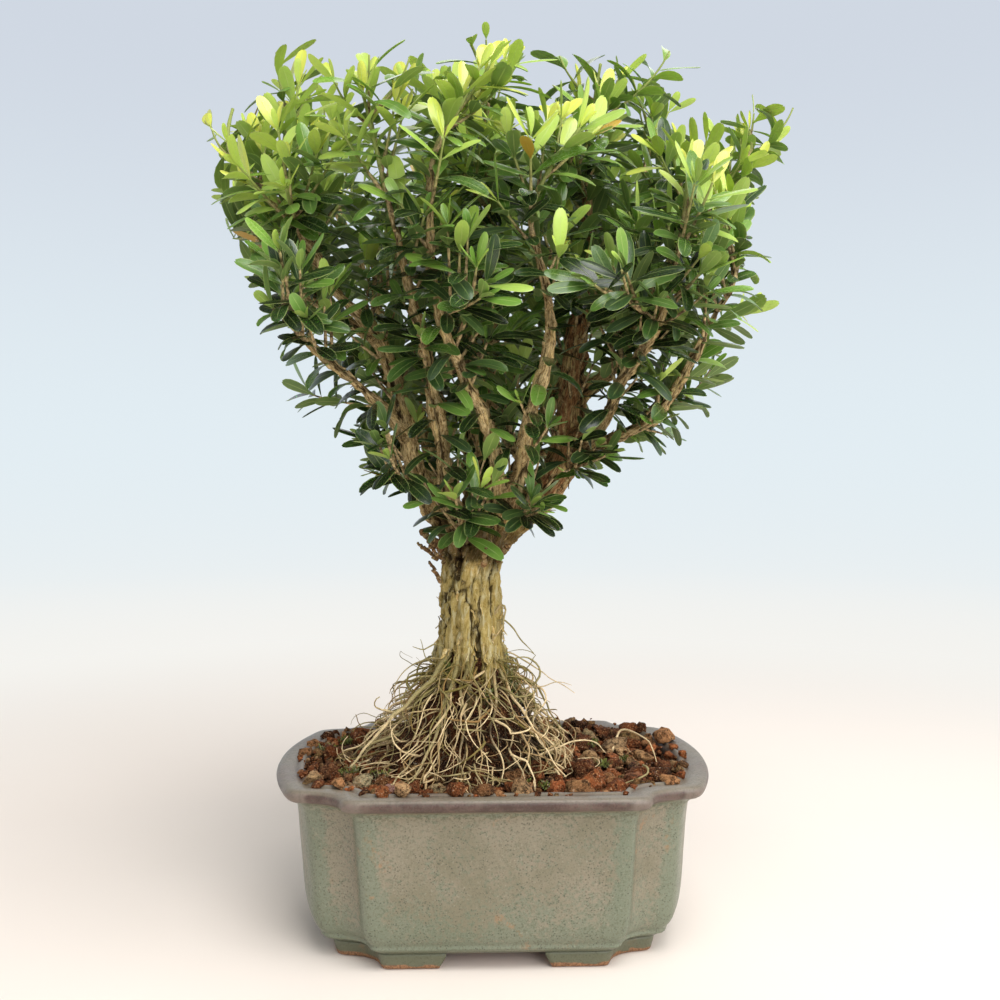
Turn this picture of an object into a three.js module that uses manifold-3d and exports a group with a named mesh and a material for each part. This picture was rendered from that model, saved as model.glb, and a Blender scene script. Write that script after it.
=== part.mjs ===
// Harland boxwood bonsai in a glazed pot with indented corners.
// Millimetres, +Z up, front towards -Y. The sizes and places below are measured from the ground
// under the middle of the pot; at the end the origin moves to the middle of the whole.

import * as THREE from 'three';
import { mergeVertices } from 'three/addons/utils/BufferGeometryUtils.js';
import Module from 'manifold-3d';

const wasm = await Module();
wasm.setup();

// Clearance between neighbouring pieces.
const GAP = 0.3;

// Pot plan at each level, from the feet up and back down inside:
// [height, front ridge x, front y, side ridge x, side ridge y, side middle x].
const POT_OUTER = [
  [4.2, 32.5, 37.0, 45.5, 27.0, 50.0],
  [5.4, 35.4, 40.0, 49.4, 30.2, 55.0],
  [8.5, 37.4, 41.8, 52.2, 32.2, 58.4],
  [14.0, 39.2, 43.2, 54.0, 33.4, 61.2],
  [30.0, 40.2, 44.2, 55.0, 34.2, 62.6],
  [44.0, 41.0, 45.2, 56.2, 35.0, 63.8],
  [48.6, 42.2, 46.8, 58.0, 36.4, 65.8],
  [50.4, 44.4, 49.2, 60.8, 38.6, 69.0],
  [52.2, 45.0, 50.0, 61.6, 39.3, 70.0],
  [53.6, 44.4, 49.4, 61.0, 38.8, 69.4],
];
const POT_INNER = [
  [54.0, 42.6, 47.4, 58.8, 37.0, 67.2],
  [53.2, 39.6, 44.4, 55.4, 34.4, 63.6],
  [50.6, 37.6, 42.2, 53.0, 32.6, 61.0],
  [14.0, 34.6, 38.6, 49.4, 29.4, 56.6],
  [9.2, 30.6, 34.6, 44.6, 25.6, 51.4],
];
const COVE_STEPS = 3;
const SIDE_STEPS = 3;

// Four corner feet: plan at the top and at the ground, and the arches between them.
const FOOT_TOP = [35.0, 39.6, 48.8, 29.6, 53.6];
const FOOT_GROUND = [34.0, 38.8, 47.8, 28.8, 52.4];
const FOOT_HEIGHT = 4.8;
const FOOT_FRONT_GAP = 17.0;
const FOOT_SIDE_GAP = 15.0;
const FOOT_SLOPE = 2.2;
const FOOT_WALL = 7.0;

// Two drain holes in the floor, each under a square of plastic net.
const DRAIN_X = 24.0;
const DRAIN_RADIUS = 2.7;
const NET_SIZE = 12.0;
const NET_THICKNESS = 0.9;
const NET_HOLES = 2;
const NET_PITCH = 2.8;
const NET_HOLE = 1.8;

// Soil surface: level at the rim, rise of the mound and the plain hole for the root base.
const SOIL_EDGE = 50.4;
const SOIL_RISE = 5.2;
const SOIL_HOLE_RADIUS = 19.0;
const SOIL_HOLE_FLOOR = 34.5;
const TRUNK_X = -7.2;
const TRUNK_Y = 0.0;
const GRANULES = 36;

// Limbs as [x, y, z, radius], from the head of the trunk outwards.
const LIMBS = {
  left_main: [
    [-13.4, 1, 127, 4.6], [-20.5, -3, 137.7, 3.6], [-25.2, -7, 148.5, 3.2], [-27.8, -11, 162.8, 2.7],
    [-33, -14, 180.3, 2.2], [-38.1, -16, 192.3, 1.7], [-49.9, -19, 205.1, 1.4], [-55.1, -21, 214.8, 1.2],
    [-62.2, -22, 225.2, 1.1], [-71, -22, 235.1, 1], [-77.8, -21, 241.6, 0.9],
  ],
  left_fore: [
    [-26.4, -9, 156.5, 2], [-31.9, -17, 164.8, 1.7], [-41.1, -28, 174.5, 1.4], [-49.4, -36, 180.9, 1.1],
    [-54.8, -41, 185.9, 0.9],
  ],
  left_low: [
    [-37.5, -16, 189.8, 1.6], [-45.6, -10, 195.5, 1.3], [-59, -2, 204.2, 1.1], [-69.9, 4, 213.6, 1],
    [-77.5, 8, 224.5, 0.9],
  ],
  front_left: [
    [-8, -2, 116, 3.6], [-10, -6, 129.1, 3.4], [-14.8, -13, 142.2, 2.4], [-17.7, -22, 164.9, 1.9],
    [-20.2, -30, 180.1, 1.6], [-22.7, -36, 192.8, 1.3], [-26.5, -42, 206.4, 1.1], [-29.9, -46, 221.2, 0.9],
  ],
  front_mid: [
    [-2.3, -6, 128.4, 3.4], [1.1, -14, 142.2, 2.4], [-2.6, -24, 162.4, 1.9], [-10, -33, 178.4, 1.6],
    [-15.2, -40, 189.4, 1.4], [-18, -46, 202.9, 1.2], [-19, -50, 217.6, 1], [-18.4, -50, 233, 0.9],
  ],
  front_right: [
    [1.4, -4, 129.6, 3.6], [6.9, -12, 142.2, 2.6], [9.3, -20, 154.8, 2.2], [11.9, -28, 169.9, 1.9],
    [15.3, -34, 179.9, 1.6], [16.1, -39, 191.2, 1.3], [14.4, -42, 202.3, 1.1], [10.4, -44, 216.3, 0.9],
  ],
  right_main: [
    [4.3, 3, 129.2, 5.2], [15.2, 2, 139.5, 4.4], [23, 1, 150.8, 4.1], [25, 1, 161.7, 3.8],
    [26.4, 2, 175, 3.4], [27.8, 3, 190, 2.8], [29.5, 4, 205, 2.2], [30.8, 4, 221.5, 1.7],
    [31.6, 3, 239.4, 1.3], [32.6, 1, 260.1, 0.9],
  ],
  right_low: [
    [22.3, 0, 149.2, 2.6], [32.9, -8, 156, 2], [46.2, -16, 161.9, 1.6], [53.9, -22, 169.7, 1.4],
    [61.1, -26, 183, 1.2], [66.1, -28, 193.7, 1], [71.6, -28, 203.5, 0.9],
  ],
  right_fore: [
    [24.8, -1, 158.4, 2.4], [33.9, -13, 162.9, 1.9], [38.6, -24, 174.5, 1.6], [43.3, -33, 183.1, 1.3],
    [48.1, -40, 192.1, 1.1], [50.8, -44, 203.7, 0.9],
  ],
  right_far: [
    [27, 2, 171.7, 2.6], [39.9, 4, 182.5, 2], [49.4, 5, 198.6, 1.7], [56.2, 6, 210.5, 1.4],
    [66.9, 6, 225.5, 1.2], [74.7, 5, 240.3, 1.1], [85.1, 4, 252.4, 0.9],
  ],
  back_left: [
    [-11.4, 7, 130, 4], [-17.6, 16, 145, 3], [-24.2, 28, 164.3, 2.4], [-33.5, 40, 188.5, 1.9],
    [-44.6, 49, 215.8, 1.5], [-54.6, 54, 240.6, 1.2], [-60.2, 56, 260.6, 0.9],
  ],
  back_mid: [
    [-7, 4, 116, 3.8], [-6, 9, 130.9, 4], [-7.3, 22, 148.4, 2.8], [-7.9, 38, 173.8, 2.2],
    [-9.4, 52, 204.5, 1.8], [-12.8, 62, 236.3, 1.3], [-15.5, 62, 263.2, 0.9],
  ],
  back_right: [
    [0.7, 8, 130.9, 4.2], [10.1, 20, 148.4, 3], [20.9, 34, 170, 2.4], [33.8, 46, 196.8, 1.9],
    [45.3, 54, 225, 1.5], [54.9, 57, 249.1, 1.2], [59.7, 56, 264.3, 0.9],
  ],
  back_far: [
    [-7.3, 18, 145, 2.4], [-3.6, 34, 159.2, 2], [4.2, 54, 178.5, 1.6], [12.6, 68, 203.1, 1.3],
    [19.1, 74, 232.3, 1.1], [23.3, 76, 252.2, 0.9],
  ],
  centre: [
    [-4.1, 2, 130.3, 4.4], [-2.7, 6, 148.5, 3.2], [-1.3, 8, 172, 2.6], [0, 8, 198.8, 2.1],
    [0.3, 6, 225, 1.6], [-0.8, 4, 247.6, 1.2], [-1.5, 2, 269.8, 0.9],
  ],
};

// Stems that run down through the trunk as its flutes, with the angle each takes round it.
const FLUTES = [
  ['left_main', 192], ['front_mid', 258], ['front_right', 312], ['right_main', 8],
  ['back_right', 66], ['back_left', 130], ['centre', 0],
];
// Trunk rings below the limbs: [height, ring radius, flute radius].
const TRUNK_RINGS = [
  [36.0, 9.0, 5.0], [53.0, 12.4, 5.4], [66.0, 9.2, 5.1], [83.0, 6.4, 4.6], [101.0, 4.8, 4.4],
  [117.0, 5.0, 4.6],
];
const TRUNK_CORE = 5.0;
const ROOTS = 30;

// Leafy twigs: [limb, place along it, tip x, tip y, tip z].
const TWIGS = [
  ['left_main', 1, -82, -10, 262],
  ['left_fore', 1, -63, -49, 194],
  ['left_low', 1, -81, 27, 246],
  ['front_left', 1, -37, -55, 252],
  ['front_mid', 1, -2, -46, 260],
  ['front_right', 1, 23, -53, 244],
  ['right_main', 1, 35, -3, 280],
  ['right_low', 1, 74, -24, 228],
  ['right_fore', 1, 54, -50, 233],
  ['right_far', 1, 86, 6, 262],
  ['back_left', 1, -63, 46, 269],
  ['back_mid', 1, -17, 46, 282],
  ['back_right', 1, 59, 40, 277],
  ['back_far', 1, 22, 65, 274],
  ['centre', 1, -7, -13, 282],
  ['front_left', 0.1, -12, -24, 140],
  ['front_right', 0.06, 12, -13, 138],
  ['left_main', 0.16, -33, -12, 146],
  ['right_main', 0.2, 27, -12, 148],
  ['back_left', 0.16, -30, 20, 152],
  ['back_right', 0.2, 24, 26, 154],
  ['back_mid', 0.68, 4, 46, 228],
  ['centre', 0.62, -27, 0, 223],
  ['right_far', 0.31, 65, 23, 195],
  ['front_left', 0.55, 4, -26, 190],
  ['right_main', 0.76, 45, 29, 235],
  ['back_left', 0.63, -39, 35, 237],
  ['right_main', 0.42, 13, 28, 195],
  ['left_main', 0.33, -40, 7, 187],
  ['right_fore', 0.5, 38, -21, 198],
  ['centre', 0.76, 2, 24, 256],
  ['back_right', 0.56, 35, 62, 218],
  ['back_mid', 0.85, -31, 72, 243],
  ['back_mid', 0.35, -25, 40, 186],
  ['front_mid', 0.65, -3, -56, 200],
  ['left_main', 0.76, -52, -1, 238],
  ['right_far', 0.66, 74, 27, 229],
  ['right_main', 0.61, 11, -19, 217],
  ['left_low', 0.49, -60, 19, 209],
  ['right_far', 0.7, 58, -8, 248],
  ['left_main', 0.55, -24, -27, 215],
  ['right_main', 0.84, 20, -25, 249],
  ['right_fore', 0.81, 26, -56, 201],
  ['centre', 0.74, -14, -19, 244],
  ['left_main', 0.8, -60, -44, 229],
  ['left_main', 0.9, -64, -6, 268],
  ['back_right', 0.79, 33, 41, 257],
  ['centre', 0.88, -25, 17, 272],
  ['back_far', 0.27, 21, 54, 181],
  ['centre', 0.36, -17, 11, 197],
  ['right_far', 0.45, 44, -21, 225],
  ['back_far', 0.78, 4, 78, 243],
  ['right_low', 0.33, 60, 0, 177],
  ['front_right', 0.25, 3, -8, 168],
  ['back_mid', 0.5, -18, 29, 215],
];
const TWIG_RADIUS = 0.95;
const LEAF_LENGTH = 17.0;
const LEAF_WIDTH = 6.2;
const LEAF_THICKNESS = 1.0;
const LEAF_SINK = 0.2;
const PAIR_STEP = 5.6;
const LEAF_CLEARANCE = 2.0;
const SEED = 20261;

// Repeatable random numbers from 0 to 1.
function makeRandom(seed) {
  let state = seed >>> 0;
  return () => {
    state = (Math.imul(state, 1664525) + 1013904223) >>> 0;
    return state / 4294967296;
  };
}

function vec(x, y, z) {
  return new THREE.Vector3(x, y, z);
}

// A closed solid from points and triangles.
function solidFrom(points, faces) {
  const solid = new wasm.Manifold(new wasm.Mesh({
    numProp: 3,
    vertProperties: new Float32Array(points.flatMap((p) => [p.x, p.y, p.z])),
    triVerts: new Uint32Array(faces.flat()),
  }));
  return solid;
}

function solidFromGeometry(geometry) {
  const plain = geometry.clone();
  plain.deleteAttribute('normal');
  plain.deleteAttribute('uv');
  const merged = mergeVertices(plain);
  return new wasm.Manifold(new wasm.Mesh({
    numProp: 3,
    vertProperties: new Float32Array(merged.attributes.position.array),
    triVerts: new Uint32Array(merged.index.array),
  }));
}

function geometryFrom(solid) {
  const mesh = solid.getMesh();
  const geometry = new THREE.BufferGeometry();
  geometry.setAttribute('position', new THREE.BufferAttribute(new Float32Array(mesh.vertProperties), 3));
  geometry.setIndex(new THREE.BufferAttribute(new Uint32Array(mesh.triVerts), 1));
  const flat = geometry.toNonIndexed();
  flat.computeVertexNormals();
  return flat;
}

// Joins solids in pairs, so that no join grows larger than it has to.
function joinAll(solids) {
  let list = solids;
  while (list.length > 1) {
    const next = [];
    for (let i = 0; i < list.length; i += 2) {
      next.push(i + 1 < list.length ? list[i].add(list[i + 1]) : list[i]);
    }
    list = next;
  }
  return list[0];
}

// The outer body alone, with sealed hollows filled and loose scraps dropped.
function outerBody(solid) {
  const bodies = solid.decompose();
  return bodies.reduce((largest, body) => (body.volume() > largest.volume() ? body : largest));
}

// A skin over rings of equal point count. A small end closes from its first point, a large one
// by a fan round its middle.
function loft(rings) {
  const count = rings[0].length;
  const points = rings.flat();
  const faces = [];
  for (let r = 0; r + 1 < rings.length; r += 1) {
    for (let i = 0; i < count; i += 1) {
      const a = r * count + i;
      const b = r * count + ((i + 1) % count);
      faces.push([a, b, b + count]);
      faces.push([a, b + count, a + count]);
    }
  }
  for (const last of [false, true]) {
    const ring = last ? rings[rings.length - 1] : rings[0];
    const start = last ? (rings.length - 1) * count : 0;
    if (count <= 6) {
      for (let i = 1; i + 1 < count; i += 1) {
        faces.push(last ? [start, start + i, start + i + 1] : [start, start + i + 1, start + i]);
      }
      continue;
    }
    const middle = ring.reduce((sum, p) => sum.add(p), vec(0, 0, 0)).divideScalar(count);
    points.push(middle);
    for (let i = 0; i < count; i += 1) {
      const a = start + i;
      const b = start + ((i + 1) % count);
      faces.push(last ? [a, b, points.length - 1] : [b, a, points.length - 1]);
    }
  }
  return solidFrom(points, faces);
}

// A tapered stem with a round or square section along a path of [point, radius].
function stem(path, sides, turn = 0) {
  const rings = [];
  let across = null;
  for (let i = 0; i < path.length; i += 1) {
    const before = path[Math.max(i - 1, 0)][0];
    const after = path[Math.min(i + 1, path.length - 1)][0];
    const along = after.clone().sub(before).normalize();
    if (across === null) {
      across = Math.abs(along.z) > 0.9 ? vec(1, 0, 0) : vec(0, 0, 1);
    }
    across = across.clone().addScaledVector(along, -across.dot(along)).normalize();
    const side = along.clone().cross(across);
    const [centre, radius] = path[i];
    const ring = [];
    for (let k = 0; k < sides; k += 1) {
      const angle = turn + (k / sides) * Math.PI * 2;
      ring.push(centre.clone()
        .addScaledVector(across, Math.cos(angle) * radius)
        .addScaledVector(side, Math.sin(angle) * radius));
    }
    rings.push(ring);
  }
  return loft(rings);
}

// Pot plan: straight front, a hollow corner, a bowed side, then the same mirrored.
function potPlan([frontX, frontY, ridgeX, ridgeY, sideX]) {
  const quarter = [[frontX, -frontY]];
  for (let i = 1; i < COVE_STEPS; i += 1) {
    const angle = (i / COVE_STEPS) * Math.PI * 0.5;
    quarter.push([
      ridgeX - (ridgeX - frontX) * Math.cos(angle) ** 0.9,
      -frontY + (frontY - ridgeY) * Math.sin(angle) ** 0.9,
    ]);
  }
  for (let i = 0; i < SIDE_STEPS; i += 1) {
    const share = 1 - i / SIDE_STEPS;
    quarter.push([ridgeX + (sideX - ridgeX) * (1 - share * share), -ridgeY * share]);
  }
  const half = [...quarter, [sideX, 0], ...quarter.map(([x, y]) => [x, -y]).reverse()];
  return [...half, ...half.map(([x, y]) => [-x, -y])];
}

function potRing([height, ...plan]) {
  return potPlan(plan).map(([x, y]) => vec(x, y, height));
}

function boxSolid(width, depth, height, x, y, z) {
  const box = new THREE.BoxGeometry(width, depth, height);
  box.translate(x, y, z);
  return solidFromGeometry(box);
}

function drainHole(side) {
  const hole = new THREE.CylinderGeometry(DRAIN_RADIUS, DRAIN_RADIUS, 12, 16);
  hole.rotateX(Math.PI / 2);
  hole.translate(side * DRAIN_X, 0, 6);
  return solidFromGeometry(hole);
}

// Cutter for the arch between two feet, narrower at the top, lying along X or Y.
function footArch(halfGap, acrossX) {
  const top = FOOT_HEIGHT - 0.8;
  const shape = new THREE.Shape();
  shape.moveTo(-halfGap - FOOT_SLOPE * 0.5, -FOOT_SLOPE);
  shape.lineTo(halfGap + FOOT_SLOPE * 0.5, -FOOT_SLOPE);
  shape.lineTo(halfGap - FOOT_SLOPE, top);
  shape.lineTo(-halfGap + FOOT_SLOPE, top);
  shape.closePath();
  const arch = new THREE.ExtrudeGeometry(shape, { depth: 180, bevelEnabled: false });
  arch.translate(0, 0, -90);
  arch.rotateX(Math.PI / 2);
  if (acrossX) {
    arch.rotateZ(Math.PI / 2);
  }
  return solidFromGeometry(arch);
}

function buildPot() {
  const shell = loft([...POT_OUTER, ...POT_INNER].map(potRing));
  const feet = loft([potRing([0, ...FOOT_GROUND]), potRing([FOOT_HEIGHT, ...FOOT_TOP])]);
  const inner = FOOT_GROUND.map((value) => value - FOOT_WALL);
  const hollow = loft([potRing([-1, ...inner]), potRing([FOOT_HEIGHT - 0.6, ...inner])]);
  const corners = feet
    .subtract(footArch(FOOT_FRONT_GAP, false))
    .subtract(footArch(FOOT_SIDE_GAP, true))
    .subtract(hollow);
  return shell.add(corners).subtract(drainHole(-1)).subtract(drainHole(1));
}

function buildNet(side) {
  const floor = POT_INNER[POT_INNER.length - 1][0];
  const z = floor + GAP + NET_THICKNESS / 2;
  let net = boxSolid(NET_SIZE, NET_SIZE, NET_THICKNESS, side * DRAIN_X, 0, z);
  for (let i = 0; i < NET_HOLES; i += 1) {
    for (let j = 0; j < NET_HOLES; j += 1) {
      const x = side * DRAIN_X + (i - (NET_HOLES - 1) / 2) * NET_PITCH;
      const y = (j - (NET_HOLES - 1) / 2) * NET_PITCH;
      net = net.subtract(boxSolid(NET_HOLE, NET_HOLE, NET_THICKNESS * 3, x, y, z));
    }
  }
  return net;
}

// Height of the soil mound, which rises towards the trunk.
function soilHeight(x, y) {
  const reach = Math.hypot((x - TRUNK_X * 0.6) / 56, (y - TRUNK_Y) / 40);
  const rise = Math.max(0, 1 - reach) ** 1.3;
  return SOIL_EDGE + SOIL_RISE * rise;
}

function granule(x, y, size, random) {
  const stone = size > 3
    ? new THREE.IcosahedronGeometry(size, 0)
    : new THREE.OctahedronGeometry(size * 1.15, 0);
  stone.deleteAttribute('normal');
  stone.deleteAttribute('uv');
  const merged = mergeVertices(stone);
  const place = merged.attributes.position;
  for (let i = 0; i < place.count; i += 1) {
    const grow = 0.82 + random() * 0.36;
    place.setXYZ(i, place.getX(i) * grow, place.getY(i) * grow, place.getZ(i) * grow * 0.85);
  }
  merged.rotateZ(random() * 6.28);
  merged.rotateX((random() - 0.5) * 0.8);
  merged.translate(x, y, soilHeight(x, y) + size * 0.12);
  return new wasm.Manifold(new wasm.Mesh({
    numProp: 3,
    vertProperties: new Float32Array(place.array),
    triVerts: new Uint32Array(merged.index.array),
  }));
}

function buildSoil(random) {
  const floor = POT_INNER[POT_INNER.length - 1][0] + GAP * 2 + NET_THICKNESS;
  const inset = ([height, ...plan], z) => potRing([z ?? height, ...plan.map((value) => value - GAP)]);
  const planAt = (z) => {
    const [high, low] = [POT_INNER[2], POT_INNER[3]];
    const share = (z - low[0]) / (high[0] - low[0]);
    return low.map((value, i) => value + (high[i] - value) * share);
  };
  const base = POT_INNER[POT_INNER.length - 1];
  const baseShare = (floor - base[0]) / (POT_INNER[3][0] - base[0]);
  const basePlan = base.map((value, i) => value + (POT_INNER[3][i] - value) * baseShare);
  const top = potRing([SOIL_EDGE, ...planAt(SOIL_EDGE).slice(1).map((value) => value - GAP)]);
  const rings = [inset(basePlan, floor), inset(POT_INNER[3]), top];
  for (const share of [0.8, 0.55, 0.25]) {
    rings.push(top.map((p) => {
      const x = TRUNK_X + (p.x - TRUNK_X) * share;
      const y = TRUNK_Y + (p.y - TRUNK_Y) * share;
      return vec(x, y, soilHeight(x, y) + (random() - 0.5) * 0.7);
    }));
  }
  let soil = loft(rings);
  const stones = [];
  let tries = 0;
  const placed = [];
  while (stones.length < GRANULES && tries < 4000) {
    tries += 1;
    const angle = random() * Math.PI * 2;
    const reach = Math.sqrt(random());
    const size = 2.0 + random() ** 2 * 2.6;
    const x = Math.cos(angle) * reach * 58;
    const y = Math.sin(angle) * reach * 40;
    const nearTrunk = Math.hypot(x - TRUNK_X, y - TRUNK_Y) < SOIL_HOLE_RADIUS + 8 + size;
    const corner = Math.abs(x) / 61 + Math.abs(y) / 42 > 1.28;
    const outside = (Math.abs(x) + size > 59 - (Math.abs(y) / 34) ** 2 * 6)
      || Math.abs(y) + size > 41 || (corner && Math.abs(x) + size > 37 && Math.abs(y) + size > 31);
    const crowded = placed.some((s) => Math.hypot(s[0] - x, s[1] - y) < (s[2] + size) * 0.92);
    const clear = isFree(vec(x, y, soilHeight(x, y) + size * 0.12), size * 1.15, 'soil', 0);
    if (!nearTrunk && !outside && !crowded && clear) {
      placed.push([x, y, size]);
      stones.push(granule(x, y, size, random));
    }
  }
  soil = joinAll([soil, ...stones]);
  const socket = new THREE.CylinderGeometry(SOIL_HOLE_RADIUS, SOIL_HOLE_RADIUS, 60, 24);
  socket.rotateX(Math.PI / 2);
  socket.translate(TRUNK_X, TRUNK_Y, SOIL_HOLE_FLOOR + 30);
  return outerBody(soil.subtract(solidFromGeometry(socket)));
}

// A point, radius and direction at a share of a limb's length.
function alongLimb(points, share) {
  const spans = [];
  let total = 0;
  for (let i = 0; i + 1 < points.length; i += 1) {
    const length = vec(...points[i]).distanceTo(vec(...points[i + 1]));
    spans.push(length);
    total += length;
  }
  let rest = share * total;
  let i = 0;
  while (i < spans.length - 1 && rest > spans[i]) {
    rest -= spans[i];
    i += 1;
  }
  const part = Math.min(rest / spans[i], 1);
  const from = vec(...points[i]);
  const to = vec(...points[i + 1]);
  return {
    point: from.clone().lerp(to, part),
    radius: points[i][3] + (points[i + 1][3] - points[i][3]) * part,
    along: to.clone().sub(from).normalize(),
  };
}

// Occupied space, kept as balls in a coarse grid.
const CELL = 6;
const occupied = new Map();

function cellKey(x, y, z) {
  return `${Math.floor(x / CELL)},${Math.floor(y / CELL)},${Math.floor(z / CELL)}`;
}

function occupy(point, radius, owner) {
  const key = cellKey(point.x, point.y, point.z);
  if (!occupied.has(key)) {
    occupied.set(key, []);
  }
  occupied.get(key).push([point.x, point.y, point.z, radius, owner]);
}

function isFree(point, radius, owner, ownMargin) {
  const reach = Math.ceil((radius + 6) / CELL);
  for (let i = -reach; i <= reach; i += 1) {
    for (let j = -reach; j <= reach; j += 1) {
      for (let k = -reach; k <= reach; k += 1) {
        const list = occupied.get(cellKey(point.x + i * CELL, point.y + j * CELL, point.z + k * CELL));
        for (const [x, y, z, ballRadius, ballOwner] of list ?? []) {
          const need = ballOwner === owner ? ownMargin : radius + ballRadius;
          if ((x - point.x) ** 2 + (y - point.y) ** 2 + (z - point.z) ** 2 < need * need) {
            return false;
          }
        }
      }
    }
  }
  return true;
}

function occupyPath(path, owner) {
  for (let i = 0; i + 1 < path.length; i += 1) {
    const [from, fromRadius] = path[i];
    const [to, toRadius] = path[i + 1];
    const steps = Math.ceil(from.distanceTo(to) / 1.2);
    for (let s = 0; s <= steps; s += 1) {
      const share = s / steps;
      occupy(from.clone().lerp(to, share), fromRadius + (toRadius - fromRadius) * share, owner);
    }
  }
}

function buildTree(random) {
  const solids = [];
  for (const [name, points] of Object.entries(LIMBS)) {
    const path = points.map(([x, y, z, r]) => [vec(x, y, z), r]);
    const flute = FLUTES.find(([limb]) => limb === name);
    if (flute) {
      const lower = [];
      const middle = name === 'centre';
      for (const [z, ring, radius] of TRUNK_RINGS) {
        const angle = THREE.MathUtils.degToRad(flute[1] + (z - 92) * 0.35);
        const reach = middle ? 0 : ring;
        lower.push([
          vec(TRUNK_X + Math.cos(angle) * reach, TRUNK_Y + Math.sin(angle) * reach, z),
          middle ? TRUNK_CORE : radius * (0.86 + random() * 0.22),
        ]);
      }
      path.unshift(...lower);
    }
    solids.push(stem(path, points[0][3] > 3 ? 6 : 4));
    occupyPath(path, 'tree');
  }
  for (let i = 0; i < ROOTS; i += 1) {
    const angle = (i / ROOTS) * Math.PI * 2 + random() * 0.25;
    const start = 62 + random() * 26;
    const reach = 25 + random() * 15;
    const radius = 0.7 + random() ** 3 * 1.1;
    const swing = (random() - 0.5) * 0.7;
    const path = [];
    for (let s = 0; s <= 4; s += 1) {
      const share = s / 4;
      const bend = angle + swing * share + Math.sin(share * 9 + i) * 0.07;
      const begin = start < 72 ? 9 : 5.5;
      const out = begin + (reach - begin) * share ** 1.2;
      const x = TRUNK_X + Math.cos(bend) * out;
      const y = TRUNK_Y + Math.sin(bend) * out;
      const ground = soilHeight(x, y) + radius + 1.4;
      path.push([vec(x, y, ground + (start - ground) * (1 - share) ** 1.5), radius * (1 - share * 0.3)]);
    }
    solids.push(stem(path, 3, i));
    occupyPath(path, 'tree');
  }
  return outerBody(joinAll(solids));
}

// Leaf: a pointed foot sunk in the twig, widest at three quarters, blunt at the tip, arched down.
function leafRings(base, along, up, length, width, droop) {
  const side = along.clone().cross(up).normalize();
  const rings = [];
  let point = base.clone();
  let last = 0;
  for (const [share, spread, ridge] of [[0, 0, 0], [0.42, 0.68, 1.2], [0.76, 1, 1], [1, 0.42, 0]]) {
    const bend = droop * ((share + last) / 2);
    const step = along.clone().multiplyScalar(Math.cos(bend)).addScaledVector(up, -Math.sin(bend));
    point = point.clone().addScaledVector(step, (share - last) * length);
    last = share;
    const lift = up.clone().multiplyScalar(Math.cos(bend)).addScaledVector(along, Math.sin(bend));
    rings.push({ point, side, lift, half: (width * spread) / 2, ridge: LEAF_THICKNESS * ridge });
  }
  return rings;
}

function leafSolid(rings) {
  const points = [rings[0].point];
  for (const { point, side, lift, half, ridge } of rings.slice(1, 3)) {
    points.push(point.clone().addScaledVector(side, half).addScaledVector(lift, -ridge * 0.4));
    points.push(point.clone().addScaledVector(lift, ridge * 0.6));
    points.push(point.clone().addScaledVector(side, -half).addScaledVector(lift, -ridge * 0.4));
  }
  const tip = rings[3];
  points.push(tip.point.clone().addScaledVector(tip.side, tip.half));
  points.push(tip.point.clone().addScaledVector(tip.side, -tip.half));
  const faces = [[0, 1, 2], [0, 2, 3], [0, 3, 1]];
  for (let i = 0; i < 3; i += 1) {
    const a = 1 + i;
    const b = 1 + ((i + 1) % 3);
    faces.push([a, b + 3, b], [a, a + 3, b + 3]);
  }
  faces.push([4, 7, 5], [5, 7, 8], [5, 8, 6], [6, 7, 4], [6, 8, 7]);
  const solid = solidFrom(points, faces);
  return solid.volume() > 0 ? solid : solidFrom(points, faces.map(([a, b, c]) => [a, c, b]));
}

function leafSamples(rings) {
  const samples = [];
  for (let r = 0; r < 3; r += 1) {
    const from = rings[r];
    const to = rings[r + 1];
    for (let s = 0; s < 5; s += 1) {
      const share = s / 5;
      const half = from.half + (to.half - from.half) * share;
      const middle = from.point.clone().lerp(to.point, share);
      for (const k of [-1, -0.5, 0, 0.5, 1]) {
        samples.push([middle.clone().addScaledVector(from.side, half * k), r + share]);
      }
    }
  }
  samples.push([rings[3].point.clone(), 3]);
  return samples;
}

// Path of a twig, which starts square to the limb's end or side and bends to its tip.
function twigPath(limbName, place, tip) {
  const { point, radius, along } = alongLimb(LIMBS[limbName], place);
  const towards = tip.clone().sub(point);
  const atEnd = place === 1;
  const out = atEnd
    ? along.clone()
    : towards.clone().addScaledVector(along, -towards.dot(along)).normalize();
  const start = point.clone().addScaledVector(out, GAP + (atEnd ? 0 : radius));
  const bend = atEnd
    ? start.clone().addScaledVector(along, towards.length() * 0.35)
    : start.clone().addScaledVector(out, 5).addScaledVector(along, 3);
  const curve = new THREE.QuadraticBezierCurve3(start, bend, tip);
  const path = [[start, TWIG_RADIUS], [start.clone().addScaledVector(out, 1.3), TWIG_RADIUS]];
  curve.getSpacedPoints(2).slice(1).forEach((p, i) => path.push([p, TWIG_RADIUS * (0.95 - i * 0.1)]));
  return path;
}

function pathIsFree(path, owner) {
  for (let i = 1; i + 1 < path.length; i += 1) {
    const [from, radius] = path[i];
    const to = path[i + 1][0];
    const steps = Math.ceil(from.distanceTo(to) / 1.2);
    for (let s = i === 1 ? 2 : 0; s <= steps; s += 1) {
      if (!isFree(from.clone().lerp(to, s / steps), radius + 0.3, owner, 0)) {
        return false;
      }
    }
  }
  return true;
}

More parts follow.
